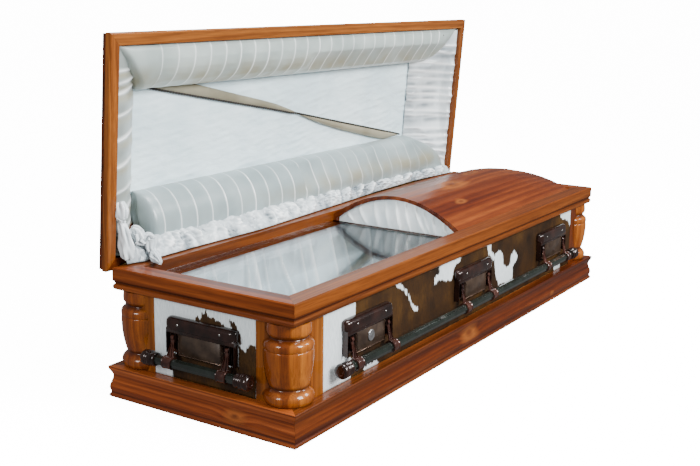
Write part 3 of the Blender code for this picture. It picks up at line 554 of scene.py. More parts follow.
COLUMN_PROFILE = (
    (0.90, 0.000), (0.955, 0.028), (0.99, 0.055), (1.00, 0.090), (0.98, 0.120), (0.91, 0.152),
    (0.82, 0.178), (0.775, 0.193), (0.768, 0.203), (0.785, 0.216), (0.82, 0.24), (0.875, 0.31),
    (0.925, 0.385), (0.962, 0.47), (0.982, 0.56), (0.985, 0.630), (0.970, 0.662), (0.945, 0.671),
    (0.965, 0.680), (0.985, 0.702), (0.983, 0.734), (0.945, 0.764), (0.86, 0.790), (0.79, 0.806),
    (0.768, 0.818), (0.785, 0.829), (0.825, 0.846), (0.870, 0.870), (0.888, 0.903), (0.880, 0.945),
    (0.855, 1.000),
)
COLUMN_R = 0.0665


def column_line(low, high):
    """Radius and height up a column: the stations' shares of its size, smoothed by a cubic between them."""
    stations = np.array(COLUMN_PROFILE) * [COLUMN_R, high - low] + [0.0, low]
    return smooth_line(stations, 4)


def corner_post(line, centre, corner, inner):
    """A square post whose outer corner is hollowed to take the column: at each height the hollow is an arc
    about the column's axis, a hair wider than the column there."""
    signs = np.sign(np.array(corner))
    reach_x, reach_y = abs(corner[0]) - abs(centre[0]), abs(corner[1]) - abs(centre[1])
    radius = line[:, 0] + 0.0006
    from_x = np.arctan2(-np.sqrt(np.maximum(radius**2 - reach_x**2, 0)), reach_x)
    from_y = np.arctan2(reach_y, -np.sqrt(np.maximum(radius**2 - reach_y**2, 0)))
    share = np.linspace(0, 1, 20)
    turn = from_x[:, None] + (from_y - 2 * np.pi - from_x)[:, None] * share[None]
    x = abs(centre[0]) + radius[:, None] * np.cos(turn)
    y = abs(centre[1]) + radius[:, None] * np.sin(turn)
    flat = np.ones((len(line), 1))
    x = np.hstack([x, flat * abs(inner[0]), flat * abs(inner[0]), flat * abs(corner[0])])
    y = np.hstack([y, flat * abs(corner[1]), flat * abs(inner[1]), flat * abs(inner[1])])
    z = np.repeat(line[:, 1:2], x.shape[1], axis=1)
    return closed(np.stack([x * signs[0], y * signs[1], z], -1))


def add_columns():
    """Four turned columns and the posts behind them."""
    for end in ("head", "foot"):
        for side in ("front", "back"):
            name, post = f"column_{side}_{end}", f"corner_post_{side}_{end}"
            low, high = corners(name)
            centre = (low + high) / 2
            line = column_line(low[2], high[2])
            profile = np.vstack([[[0.001, low[2]]], line, [[0.001, high[2]]]])
            piece(f"turned_{name}", [closed(spin(profile, (centre[0], centre[1], 0.0), 72))], PINE_COLUMN,
                  cad=[name], crease=50)
            box_low, box_high = corners(post)
            outer = np.where(np.abs(box_low) > np.abs(box_high), box_low, box_high)
            inner = np.where(np.abs(box_low) > np.abs(box_high), box_high, box_low)
            tall = np.vstack([[[line[0, 0], box_low[2]]], [[line[0, 0], low[2] - 0.0002]], line,
                              [[line[-1, 0], high[2] + 0.0002]], [[line[-1, 0], box_high[2]]]])
            piece(f"hollowed_{post}", [corner_post(tall, centre, outer[:2], inner[:2])], PINE_Z, cad=[post],
                  crease=35)


# Handles

PIVOT_OUT, PIVOT_Z = 0.0148, 0.213
BAR_OUT, BAR_Z, BAR_R = 0.0328, 0.148, 0.0136
ARM_OFFSET = 0.093
PLATE_HALF = 0.120
PLATE_X = (-0.640, 0.0, 0.640)
HOOD_LOW, HOOD_HIGH, HOOD_OUT = 0.235, 0.270, 0.0220
HOOD_REACH = 0.020
SLEEVE_GROWTH = 1.08
CAP_GROWTH = 1.16
SIDE_BAR, END_BAR = 1.630, 0.364
BLOCK_HALF, BLOCK_LOW, BLOCK_OUT = 0.116, 0.168, 0.0185
POCKET = (0.073, 0.113)


def slab(low, high, edge=0.0012):
    """A block with broken edges: a rounded square ring carried through its depth, drawn in at both faces."""
    low, high = np.asarray(low, float), np.asarray(high, float)
    edge = min(edge, float((high - low).min()) * 0.45)
    rings = []
    for y, inset in ((low[1], edge), (low[1] + edge, 0.0), (high[1] - edge, 0.0), (high[1], edge)):
        x0, x1, z0, z1 = low[0] + inset, high[0] - inset, low[2] + inset, high[2] - inset
        c = edge
        ring = [(x0 + c, z0), (x1 - c, z0), (x1, z0 + c), (x1, z1 - c), (x1 - c, z1), (x0 + c, z1),
                (x0, z1 - c), (x0, z0 + c)]
        rings.append([(x, y, z) for x, z in ring])
    return closed(rings)


def hood():
    """The plate's hood: a soft-cornered section carried along X and drawn in by a quarter circle at each end."""
    depth, height = HOOD_OUT, HOOD_HIGH - HOOD_LOW
    section = smooth_line([(0.0, 0.02), (0.55, 0.0), (0.90, 0.04), (1.0, 0.20), (1.0, 0.60), (0.90, 0.80),
                           (0.62, 0.94), (0.30, 1.0), (0.0, 1.0)], 4)
    turn = np.linspace(0, np.pi / 2, 9)
    share = np.sin(turn)
    x = PLATE_HALF - HOOD_REACH * (1 - share)
    size = 0.25 + 0.75 * np.sqrt(np.clip(1 - share**2, 0, 1))
    stations = np.concatenate([-x[::-1], x])
    sizes = np.concatenate([size[::-1], size])
    middle = HOOD_LOW + 0.45 * height
    out = -depth * sizes[:, None] * section[None, :, 0]
    z = middle + (HOOD_LOW + height * section[None, :, 1] - middle) * (0.35 + 0.65 * sizes[:, None])
    grid = np.stack([np.repeat(stations[:, None], len(section), 1), out, z], -1)
    return closed(grid)


def plate_parts():
    """A plate's bronze parts in its own place: block round two pockets, ears, hood and panel border."""
    back = slab((-BLOCK_HALF, -0.0035, BLOCK_LOW), (BLOCK_HALF, 0.0, HOOD_HIGH - 0.004))
    top = slab((-BLOCK_HALF, -BLOCK_OUT, 0.226), (BLOCK_HALF, -0.001, 0.240))
    parts = [back, top, hood()]
    for sx in (-1, 1):
        near, far = sorted((sx * POCKET[1], sx * BLOCK_HALF))
        parts.append(slab((near, -BLOCK_OUT, BLOCK_LOW), (far, -0.001, 0.228)))
        for side in (-1, 1):
            x0, x1 = sorted((sx * ARM_OFFSET + side * 0.0063, sx * ARM_OFFSET + side * 0.0093))
            parts.append(slab((x0, -0.0185, 0.2035), (x1, -0.002, 0.228)))
            parts.append(slab((x0, -0.0100, 0.176), (x1, -0.002, 0.206)))
    return parts


def border_parts():
    """A thin raised line round three sides of the flat face, painted lighter than the plate: a painted highlight
    along its edge.
    """
    border, lip = 0.0022, BLOCK_OUT + 0.0009
    x0, x1 = -POCKET[0], POCKET[0]
    return [slab((x0, -lip, BLOCK_LOW), (x0 + border, -0.001, 0.228)),
            slab((x1 - border, -lip, BLOCK_LOW), (x1, -0.001, 0.228)),
            slab((x0, -lip, BLOCK_LOW), (x1, -0.001, BLOCK_LOW + border))]


def panel_part():
    """The flat face between the two pockets, slightly sunk inside its border."""
    return slab((-POCKET[0] + 0.002, -BLOCK_OUT + 0.0012, BLOCK_LOW + 0.002), (POCKET[0] - 0.002, -0.0015, 0.227))


def screw_head(centre, radius):
    """A small domed screw head standing out of the plate."""
    turn = np.linspace(0, np.pi / 2, 5)
    profile = np.stack([radius * np.cos(turn) + 0.0001, radius * 0.45 * np.sin(turn)], -1)
    profile = np.vstack([[0.0001 + radius, -0.0015], profile])
    grid = spin(profile, (0, 0, 0), 14)
    x, y, z = grid[..., 0], grid[..., 1], grid[..., 2]
    return closed(np.stack([x, -z, y], -1) + np.asarray(centre))


def plate_screws():
    """Two screws in the hood and two beside each arm."""
    parts = []
    for sx in (-1, 1):
        parts.append(screw_head((sx * 0.072, -HOOD_OUT + 0.0003, 0.2525), 0.0034))
        for z in (0.198, 0.183):
            parts.append(screw_head((sx * 0.080, -0.0038, z), 0.0026))
    return parts


def arm_parts(centre):
    """One swing arm: a plate that flares from its pivot to the bar, with raised edges and a middle rib
    between two hollows; a boss on the pivot and a ringed sleeve round the bar."""
    top = np.array([centre, -PIVOT_OUT, PIVOT_Z])
    low = np.array([centre, -BAR_OUT, BAR_Z])
    down = (low - top) / np.linalg.norm(low - top)
    outward = np.cross([1.0, 0.0, 0.0], down)
    outward *= -np.sign(outward[1])
    run = np.linalg.norm(low - top)
    stations = np.array([[-0.10, 4.8, 0.4], [-0.05, 5.8, 0.5], [0.08, 6.2, 0.5], [0.18, 5.9, 0.6], [0.30, 6.2, 1.0],
                         [0.45, 7.8, 1.0], [0.62, 10.2, 1.0], [0.78, 12.4, 1.0], [0.92, 14.2, 1.0], [1.0, 14.4, 0.8]])
    stations = smooth_line(stations, 3)
    across = np.array([-1.0, -1.0, -0.82, -0.66, -0.34, -0.20, 0.0, 0.20, 0.34, 0.66, 0.82, 1.0, 1.0])
    raised = np.array([0.0, 3.4, 4.2, 0.6, 0.6, 4.0, 5.2, 4.0, 0.6, 0.6, 4.2, 3.4, 0.0])
    plain = np.array([0.0, 2.8, 3.6, 4.0, 4.4, 4.6, 4.7, 4.6, 4.4, 4.0, 3.6, 2.8, 0.0])
    share, half, carve = stations[:, :1], stations[:, 1:2] / 1000, np.clip((stations[:, 2:3] - 0.5) * 2, 0, 1)
    lift = (plain * (1 - carve) + raised * carve) / 1000
    ring = (top + down * run * share)[:, None] + np.array([1.0, 0, 0]) * (half * across)[..., None]
    ring = ring + outward * (lift - 0.0022)[..., None]
    parts = [closed(ring)]
    boss = [(0.0001, -0.0052), (0.0056, -0.0052), (0.0068, -0.0040), (0.0070, 0.0), (0.0068, 0.0040),
            (0.0056, 0.0052), (0.0001, 0.0052)]
    parts.append(closed(spin(boss, top, 20, axis="x")))
    sleeve = [(0.0126, -0.0150), (0.0158, -0.0149), (0.0168, -0.0138), (0.0166, -0.0122), (0.0154, -0.0108),
              (0.0156, -0.0050), (0.0160, 0.0), (0.0156, 0.0050), (0.0154, 0.0108), (0.0166, 0.0122),
              (0.0168, 0.0138), (0.0158, 0.0149), (0.0126, 0.0150)]
    sleeve = [(radius * SLEEVE_GROWTH, place) for radius, place in sleeve]
    parts.append(closed(spin(sleeve, low, 28, axis="x")))
    return parts


def bar_part(length):
    """The grip: eight soft flats round a bar, as its radius grows a little at each edge between two flats."""
    stations = np.array([-0.5, -0.35, -0.2, 0.0, 0.2, 0.35, 0.5]) * (length - 0.060)
    angle = np.linspace(0, 2 * np.pi, 64, endpoint=False) + np.pi / 16
    part = np.mod(angle, np.pi / 4) - np.pi / 8
    radius = BAR_R * (np.cos(np.pi / 8) / np.cos(part)) ** 1.15 * 1.015
    y, z = -BAR_OUT + radius * np.cos(angle), BAR_Z + radius * np.sin(angle)
    grid = np.stack([np.repeat(stations[:, None], 64, 1), np.tile(y, (7, 1)), np.tile(z, (7, 1))], -1)
    return closed(grid)


def cap_parts(length):
    """A ridged cap on each end of the bar: collar, waist, three ridges and a rounded end."""
    profile = [(0.0126, 0.000), (0.0150, 0.0005), (0.0166, 0.003), (0.0166, 0.006), (0.0146, 0.009),
               (0.0142, 0.012), (0.0165, 0.016), (0.0183, 0.018), (0.0183, 0.021), (0.0174, 0.0225),
               (0.0183, 0.024), (0.0183, 0.0265), (0.0174, 0.028), (0.0183, 0.0295), (0.0185, 0.037),
               (0.0180, 0.041), (0.0160, 0.0445), (0.0120, 0.0460), (0.0001, 0.0460)]
    parts = []
    for sx in (-1, 1):
        start = sx * (length / 2 - 0.046)
        grid = spin([(r * CAP_GROWTH, start + sx * x) for r, x in [(0.0001, 0.0)] + profile], (0, -BAR_OUT, BAR_Z),
                    36, axis="x")
        parts.append(closed(grid))
    return parts


def cap_discs(length):
    """A thin ring let into the end of each cap."""
    parts = []
    for sx in (-1, 1):
        end = sx * length / 2
        profile = [(0.0001, end - sx * 0.002), (0.0108, end - sx * 0.002), (0.0112, end + sx * 0.0004),
                   (0.0086, end + sx * 0.0004), (0.0080, end - sx * 0.0002), (0.0001, end - sx * 0.0002)]
        parts.append(closed(spin(profile, (0, -BAR_OUT, BAR_Z), 30, axis="x")))
    return parts


def placed(patches, side, along=0.0):
    """Parts made for the front at the middle, moved along their side and out to its face."""
    face = FACE_Y if side in ("front", "back") else FACE_X
    moved = []
    for patch in patches:
        points = turned(patch.points + [along, -face - GAP, 0.0], TURNS[side])
        moved.append(Patch(points, patch.wrap, patch.cap))
    return moved


def add_handles():
    """Plates, screws, bars, caps and arms on all four sides."""
    for side in TURNS:
        long_side = side in ("front", "back")
        centres = PLATE_X if long_side else (0.0,)
        length = SIDE_BAR if long_side else END_BAR
        body = f"{side}_handle"
        for k, along in enumerate(centres):
            name = f"handle_plate_{side}_{k + 1}" if long_side else f"handle_plate_{side}"
            piece(f"bronze_{name}", placed(plate_parts(), side, along), BRONZE, cad=[name])
            piece(f"face_{name}", placed([panel_part()], side, along), BRONZE_FACE)
            piece(f"border_{name}", placed(border_parts(), side, along), BRONZE_EDGE)
            piece(f"screws_{name}", placed(plate_screws(), side, along), STEEL)
        arms = []
        for along in centres:
            for sx in (-1, 1):
                arms += arm_parts(along + sx * ARM_OFFSET)
        piece(f"bar_{side}", placed([bar_part(length)], side), BAR_PAINT, body, [f"handle_{side}"], 20)
        piece(f"caps_{side}", placed(cap_parts(length), side), BRONZE, body)
        piece(f"cap_discs_{side}", placed(cap_discs(length), side), ARM_BRONZE, body)
        piece(f"arms_{side}", placed(arms, side), ARM_BRONZE, body)
    low, high = corners("plate_disc")
    radius, centre = 0.66 * (high[0] - low[0]), (low + high) / 2
    coin = [(0.0001, 0.0), (1.0, 0.0), (1.0, 0.0012), (0.93, 0.0019), (0.84, 0.0014), (0.30, 0.0012), (0.22, 0.0018),
            (0.0001, 0.0019)]
    grid = spin([(max(share * radius, 0.0001), rise) for share, rise in coin], (0, 0, 0), 40)
    flat = np.stack([grid[..., 0] + centre[0], high[1] - grid[..., 2], grid[..., 1] + centre[2]], -1)
    piece("disc_on_plate", [closed(flat)], ALUMINIUM, cad=["plate_disc"])


# Hide panels: white patches are outlines along the panel and up it, in metres

FRONT_WHITES = (
    ((-0.86, 0.33), (-0.693, 0.33), (-0.692, 0.258), (-0.739, 0.240), (-0.746, 0.165), (-0.708, 0.148),
     (-0.711, 0.085), (-0.86, 0.085)),
    ((-0.481, 0.305), (-0.459, 0.305), (-0.431, 0.284), (-0.402, 0.260), (-0.384, 0.226), (-0.348, 0.206),
     (-0.342, 0.195), (-0.365, 0.195), (-0.377, 0.213), (-0.389, 0.225), (-0.408, 0.255), (-0.436, 0.279),
     (-0.470, 0.294)),
    ((-0.072, 0.33), (-0.212, 0.33), (-0.216, 0.284), (-0.246, 0.272), (-0.251, 0.249), (-0.233, 0.257),
     (-0.196, 0.258), (-0.177, 0.247), (-0.158, 0.249), (-0.138, 0.242), (-0.127, 0.255), (-0.122, 0.282),
     (-0.077, 0.291)),
    ((0.113, 0.33), (0.142, 0.330), (0.144, 0.281), (0.176, 0.258), (0.190, 0.269), (0.220, 0.271),
     (0.237, 0.253), (0.248, 0.217), (0.273, 0.198), (0.303, 0.205), (0.308, 0.232), (0.330, 0.247),
     (0.365, 0.221), (0.351, 0.202), (0.324, 0.187), (0.329, 0.145), (0.279, 0.142), (0.217, 0.149),
     (0.200, 0.167), (0.184, 0.203), (0.171, 0.240), (0.131, 0.271), (0.115, 0.290)),
    ((0.744, 0.33), (0.900, 0.330), (0.900, 0.262), (0.869, 0.249), (0.840, 0.246), (0.807, 0.271),
     (0.747, 0.289)),
    ((-0.648, 0.103), (-0.578, 0.108), (-0.565, 0.096), (-0.577, 0.080), (-0.608, 0.080), (-0.638, 0.092)),
    ((0.699, 0.109), (0.764, 0.109), (0.767, 0.085), (0.705, 0.080)),
)
HEAD_BROWNS = (
    ((-0.032, 0.274), (-0.024, 0.282), (-0.010, 0.272), (-0.006, 0.297), (0.001, 0.290), (0.009, 0.308),
     (0.019, 0.293), (0.023, 0.280), (0.031, 0.290), (0.048, 0.279), (0.055, 0.278), (0.085, 0.262),
     (0.090, 0.200), (-0.030, 0.200)),
    ((0.080, 0.294), (0.092, 0.294), (0.111, 0.280), (0.125, 0.255), (0.129, 0.232), (0.118, 0.234),
     (0.097, 0.268)),
    ((0.116, 0.230), (0.137, 0.214), (0.149, 0.235), (0.175, 0.240), (0.175, 0.080), (-0.112, 0.080),
     (-0.112, 0.166), (0.116, 0.166)),
)
BACK_WHITES = (
    ((-0.86, 0.33), (-0.60, 0.33), (-0.585, 0.27), (-0.64, 0.22), (-0.70, 0.205), (-0.74, 0.15), (-0.86, 0.13)),
    ((-0.30, 0.085), (-0.24, 0.14), (-0.17, 0.16), (-0.11, 0.145), (-0.08, 0.085)),
    ((0.22, 0.33), (0.40, 0.33), (0.42, 0.27), (0.36, 0.235), (0.31, 0.25), (0.26, 0.24)),
    ((0.66, 0.085), (0.64, 0.14), (0.70, 0.20), (0.78, 0.21), (0.86, 0.25), (0.86, 0.085)),
)
FOOT_WHITES = (
    ((-0.18, 0.33), (-0.03, 0.33), (-0.02, 0.28), (-0.07, 0.25), (-0.12, 0.26), (-0.18, 0.21)),
    ((0.18, 0.08), (0.04, 0.08), (0.06, 0.12), (0.11, 0.14), (0.13, 0.19), (0.18, 0.21)),
)


def inside_by(along, up, outline):
    """How far each point lies inside a closed outline, in metres, and below zero outside it."""
    a = np.array(outline, float)
    b = np.roll(a, -1, axis=0)
    p = np.stack([along, up], -1)[..., None, :]
    edge, gap = b - a, p - a
    share = np.clip((gap * edge).sum(-1) / (edge * edge).sum(-1), 0, 1)
    near = np.linalg.norm(gap - share[..., None] * edge, axis=-1).min(-1)
    crosses = (a[:, 1] > p[..., 1]) != (b[:, 1] > p[..., 1])
    at = a[:, 0] + (p[..., 1] - a[:, 1]) * (b[:, 0] - a[:, 0]) / np.where(b[:, 1] == a[:, 1], 1e-9, b[:, 1] - a[:, 1])
    inside = (crosses & (p[..., 0] < at)).sum(-1) % 2 == 1
    return np.where(inside, near, -near)


def add_hides():
    """Hair-on hide over each board: a flat grid a little puckered, with the white's depth stored on it."""
    outlines = {"front": (FRONT_WHITES, 1), "back": (BACK_WHITES, 1), "head": (HEAD_BROWNS, -1),
                "foot": (FOOT_WHITES, 1)}
    for side, (shapes, sign) in outlines.items():
        low, high = corners(f"hide_panel_{side}")
        run = (high[0] - low[0]) / 2 if side in ("front", "back") else (high[1] - low[1]) / 2
        face = FACE_Y if side in ("front", "back") else FACE_X
        along = np.linspace(-run, run, int(run * 2 / 0.006))
        up = np.linspace(low[2], high[2], 38)
        a, z = np.meshgrid(along, up, indexing="ij")
        rise = 0.0005 * crumple(a, z, 11, 30.0) - 0.0012
        front = np.stack([a, -face + 0.0007 - np.clip(rise, -0.0018, 0.0006) * 0.5, z], -1)
        depth = np.max([inside_by(a, z, shape) for shape in shapes], axis=0) * sign * 100
        item = piece(f"hair_hide_{side}", [Patch(turned(front, TURNS[side]))], HIDE, cad=[f"hide_panel_{side}"],
                     thick=0.0012)
        mark(item, "white", depth)


# Satin

ROUND_SECTION = ((0.0, 0.16), (0.03, 0.10), (0.12, 0.045), (0.30, 0.03), (0.50, 0.075), (0.68, 0.185), (0.83, 0.36),
                 (0.95, 0.62), (1.0, 0.995))
FLAT_SECTION = ((0.0, 0.14), (0.03, 0.13), (0.12, 0.15), (0.27, 0.21), (0.45, 0.34), (0.62, 0.51), (0.79, 0.70),
                (0.92, 0.88), (1.0, 0.995))
ROLL_WIDTHS = {"front": 0.1385, "back": 0.1500, "head": 0.1560, "foot": 0.2360}
FRAME_IN = 0.0350
DOME_CLEARANCE = 0.0070
DOME_REACH = (-0.06, 0.948)
ROLL_PLEATS = {
    "front": np.linspace(-0.805, 0.799, 24),
    "back": np.linspace(-0.770, 0.800, 23),
    "head": np.array([-0.225, -0.190, -0.162, -0.102, -0.036, 0.039, 0.109, 0.170, 0.226]),
    "foot": np.array([-0.222, -0.190, -0.144, -0.108, -0.079, -0.043, -0.016, 0.010, 0.052, 0.070, 0.123, 0.153,
                      0.183,
                      0.219, 0.250]),
}


def cross_roll(width, section):
    """A roll's section with the lid shut: inset from the frame's inner edge, and height above the mating plane."""
    deep = PANEL_Z - MATING_Z
    seen = smooth_line(np.array(section) * [width, deep], 4)
    back = np.array([(0.60, deep), (0.30, 0.80 * deep), (0.08, 0.42 * deep)]) * [width, 1.0]
    return seen, back


def roll_ends(name, share):
    """Where a roll starts and stops at each point of its section: the end pieces are mitred, and the long
    rolls' rounded ends swell over them."""
    head, foot = ROLL_WIDTHS["head"], ROLL_WIDTHS["foot"]
    reach_x, reach_y = LID_X - FRAME_IN, LID_Y - FRAME_IN
    bow = np.sin(np.pi * np.clip(share, 0, 1))
    if name == "front":
        return -reach_x + head * share - 0.012 * bow, reach_x - foot * share + 0.060 * share**0.7
    if name == "back":
        return -reach_x + head - 0.012 * bow + 0 * share, reach_x - foot * share + 0.062 * bow
    if name == "head":
        return -reach_y + 0.001 + 0.45 * ROLL_WIDTHS["front"] * share, reach_y - 0.001 + 0 * share
    return -reach_y + 0.001 + 0.45 * ROLL_WIDTHS["front"] * share, reach_y - 0.001 - 0.5 * ROLL_WIDTHS["back"] * share


def pleat_stations(start, stop, pleats, long_side):
    """Stations along a roll, close together at each pleat and at both rounded ends."""
    offsets = np.array([-0.0300, -0.0090, -0.0042, -0.0020, 0.0, 0.0020, 0.0042, 0.0090])
    ends = np.array([0.0, 0.0015, 0.004, 0.009, 0.016, 0.026, 0.040])
    if not long_side:
        offsets, ends = np.linspace(-0.012, 0.012, 9), ends[:1]
    inner = (pleats[:, None] + offsets).ravel()
    inner = inner[(inner > start + 0.045) & (inner < stop - 0.045)] if long_side else inner
    even = np.linspace(start, stop, 90)[1:-1] if not long_side else np.array([])
    stations = np.unique(np.round(np.concatenate([start + ends, stop - ends, inner, even]), 4))
    return stations[(stations >= start) & (stations <= stop)]


def dome_top(x, y):
    """Height of the domed inner lid, which presses the foot end's satin back when the lid is shut."""
    past = np.clip((x - 0.64) / 0.30, 0, 1)
    return 0.3633 + (0.0905 - 0.035 * past**2) * (1 - (y / 0.246) ** 2)


def roll_painted_shade(name, place, share, pleats):
    """How much painted shade the satin takes: the lower part of the long rolls, and the valleys beside the folds."""
    if name == "front":
        return np.clip((share - 0.35) / 0.4, 0, 1) * 0.9 + 0 * place
    if name == "back":
        return 0.9 * np.exp(-((share - 0.40) / 0.20) ** 2) * np.clip((place + 0.7) / 1.1, 0.1, 1)
    beside = np.exp(-((place - pleats[None] - 0.014) / 0.010) ** 2).max(1, keepdims=True)
    return beside * (0.7 + 0.3 * share)


def inflate(item, held, pressure, most):
    """Let the satin swell under its padding by cloth simulation, and cap how far any point may move."""
    mesh = item.data
    count = len(mesh.vertices)
    rest = np.empty(count * 3)
    mesh.vertices.foreach_get("co", rest)
    rest = rest.reshape(-1, 3)
    group = item.vertex_groups.new(name="held")
    for level in np.unique(np.round(held, 2)):
        if level > 0:
            group.add(np.flatnonzero(np.round(held, 2) == level).tolist(), float(level), "REPLACE")
    cloth = item.modifiers.new("Cloth", "CLOTH")
    settings = cloth.settings
    settings.quality = 5
    settings.mass = 0.2
    settings.tension_stiffness = settings.compression_stiffness = 12
    settings.bending_stiffness = 0.4
    settings.use_pressure = True
    settings.uniform_pressure_force = pressure
    settings.vertex_group_mass = "held"
    settings.effector_weights.gravity = 0.0
    cloth.collision_settings.use_collision = False
    cloth.point_cache.frame_start, cloth.point_cache.frame_end = 1, 20
    scene = bpy.context.scene
    for step in range(1, 21):
        scene.frame_set(step)
    evaluated = item.evaluated_get(bpy.context.evaluated_depsgraph_get())
    swollen = np.empty(count * 3)
    evaluated.to_mesh().vertices.foreach_get("co", swollen)
    evaluated.to_mesh_clear()
    item.modifiers.remove(cloth)
    scene.frame_set(1)
    move = swollen.reshape(-1, 3) - rest
    size = np.linalg.norm(move, axis=1, keepdims=True)
    move *= np.minimum(1.0, most / np.maximum(size, 1e-9))
    mesh.vertices.foreach_set("co", (rest + move).ravel())
    mesh.update()


def add_rolls():
    """Two pleated rolls along the lid and a gathered piece at each end: each is its section lofted from end to
    end, with a thin ridge for every pleat, and swollen between them."""
    for name, width in ROLL_WIDTHS.items():
        long_side = name in ("front", "back")
        seen, back = cross_roll(width, ROUND_SECTION if long_side else FLAT_SECTION)
        section = np.vstack([seen, back])
        inset, height, count_seen = section[:, 0], section[:, 1], len(seen)
        share = inset / width
        start, stop = roll_ends(name, share)
        low, high = start.min(), stop.max()
        core = (start.max() + 0.02, stop.min() - 0.02)
        pleats = ROLL_PLEATS[name]
        place = pleat_stations(low, high, pleats, long_side)[:, None]
        before = core[0] + (place - core[0]) * (core[0] - start)[None] / (core[0] - low)
        after = core[1] + (place - core[1]) * (stop - core[1])[None] / (high - core[1])
        u = np.where(place < core[0], before, np.where(place > core[1], after, place))
        deep = PANEL_Z - MATING_Z
        height = np.repeat(height[None], len(place), 0)
        if long_side:
            gap = np.clip(np.minimum((place - low) / 0.030, (high - place) / 0.055), 0, 1)
            behind = np.interp(inset, [0, *back[::-1, 0], width], [height[0, 0], *back[::-1, 1], deep])
            height = behind - (behind - height) * np.sqrt(1 - (1 - gap) ** 2)
        else:
            slope = cross_roll(ROLL_WIDTHS["front"], ROUND_SECTION)[1][::-1]
            room = np.interp(LID_Y - FRAME_IN - np.abs(u), [0, *slope[:, 0]], [0, *slope[:, 1]])
            height = np.minimum(height, room)
        strength = 0.55 + 0.45 * np.abs(waves(pleats, 3, 4, 1.0, 6.0))
        if name == "back":
            strength = strength * np.clip(1.0 - (pleats + 0.2) * 0.75, 0.28, 1)
        thin = 0.0021 if long_side else 0.0052
        slide = 0 if long_side else 0.010 * np.sin(2.2 * share[None] + pleats[0] * 30)
        ridge = (np.exp(-((place[..., None] + np.atleast_1d(slide)[...,
                                                                   None] - pleats) / thin) ** 2) * strength).max(-1)
        ridge = np.broadcast_to(ridge, height.shape)
        front_mask = np.zeros(len(inset))
        front_mask[:count_seen] = np.sin(np.pi * np.linspace(0.02, 0.98, count_seen)) ** 0.5
        swell = 0.0 if long_side else 0.0042 * waves(place[:, 0], 8, 5, 6.0, 17.0)[:, None]
        height = height - (ridge * (0.0026 if long_side else 0.0068) + swell) * front_mask[None]
        y = -((LID_Y if long_side else LID_X) - FRAME_IN - inset)[None] + 0 * place
        z = MATING_Z + height
        shut_x, shut_y = (u, y * (-1 if name == "back" else 1)) if long_side else (-y if name == "foot" else y, u)
        over_dome = (shut_x > DOME_REACH[0]) & (shut_x < DOME_REACH[1])
        z = np.maximum(z, np.where(over_dome, dome_top(shut_x, shut_y) + DOME_CLEARANCE, 0.0))
        if long_side:
            sign = -1 if name == "back" else 1
            points = np.stack([u, y * sign, z], -1)
        else:
            sign = -1 if name == "foot" else 1
            points = np.stack([y * sign, u, z], -1)
        satin_kind = {"front": SATIN, "back": SATIN_LOW, "head": SATIN_SIDE, "foot": BRIGHT_SATIN}[name]
        item = piece(f"pleated_roll_{name}", [closed(opened(points))], satin_kind, body=None, crease=75)
        mark(item, "crease", 0.85 * ridge * front_mask[None])
        mark(item, "painted_shade", roll_painted_shade(name, place, share[None], pleats))
        held = np.zeros(height.shape)
        held[:, count_seen - 1:] = 1.0
        held[:, :2] = 1.0
        held[:7] = held[-7:] = 1.0
        held = np.maximum(held, np.where(ridge > 0.45, 0.92, 0.0))
        if long_side:
            inflate(item, held.ravel(), 4.0, 0.005)
        finer = item.modifiers.new("Subdivision", "SUBSURF")
        finer.levels = finer.render_levels = 1
        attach(item, "lid")
        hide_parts(f"satin_roll_{name}")


PANEL_ALONG = (-0.830, 0.750)
PANEL_ACROSS = (-0.158, 0.152)


def add_lid_panel():
    """Flat crepe between the rolls: a grid with shallow crinkles that run mostly along the lid."""
    x = np.linspace(*PANEL_ALONG, 280)
    y = np.linspace(*PANEL_ACROSS, 80)
    a, b = np.meshgrid(x, y, indexing="ij")
    rise = 0.0009 * crumple(a * 0.30, b, 5, 230.0) + 0.0011 * crumple(a * 0.45, b, 6, 70.0)
    rise = np.clip(rise, -0.0035, 0.0011)
    grid = opened(np.stack([a, b, PANEL_Z + 0.0025 + rise], -1))
    item = piece("crepe_lid_panel", [Patch(grid)], CREPE, "lid", ["lid_panel"], thick=0.0012)


SASH_LINE = ((-0.805, 0.4868), (-0.755, 0.4772), (-0.567, 0.4420), (-0.335, 0.3985), (-0.162, 0.3662),
             (-0.055, 0.3450), (-0.020, 0.3402), (0.030, 0.3300), (0.180, 0.2990), (0.360, 0.2620),
             (0.560, 0.2210), (0.650, 0.2025), (0.705, 0.1905))
SASH_WIDTHS = (0.012, 0.034, 0.036, 0.028, 0.021, 0.010, 0.002, -0.008, -0.024, -0.031, -0.034, -0.016, -0.001)


def add_sash():
    """A ribbon with a braided edge: it runs beside a slanting line, narrows to a twist and changes side."""
    line = smooth_line([(x, s, w) for (x, s), w in zip(SASH_LINE, SASH_WIDTHS)], 10)
    share = np.linspace(0, 1, 9)[None]
    x, s, width = (line[:, k:k + 1] for k in range(3))
    bulge = 0.006 * np.sin(np.pi * share) * np.clip(np.abs(width) / 0.02, 0, 1)
    grid = np.stack([x + 0 * share, LID_Y - s - width * share, PANEL_Z - 0.0055 - bulge], -1)
    ribbon = piece("ribbon_sash", [Patch(opened(grid))], RIBBON, "lid", ["lid_sash"], thick=0.0008)
    path = np.concatenate([x, LID_Y - s, np.full_like(x, PANEL_Z - 0.0062)], 1)
    steps = np.concatenate([[0], np.cumsum(np.linalg.norm(np.diff(path, axis=0), axis=1))])
    fine = np.linspace(0, steps[-1], 700)
    path = np.stack([np.interp(fine, steps, path[:, k]) for k in range(3)], -1)
    radius = 0.0028 + 0.0010 * np.abs(np.sin(np.pi * fine / 0.0125))
    piece("braid_sash_edge", [closed(opened(tube(path, radius, 8)))], STITCHES, "lid")


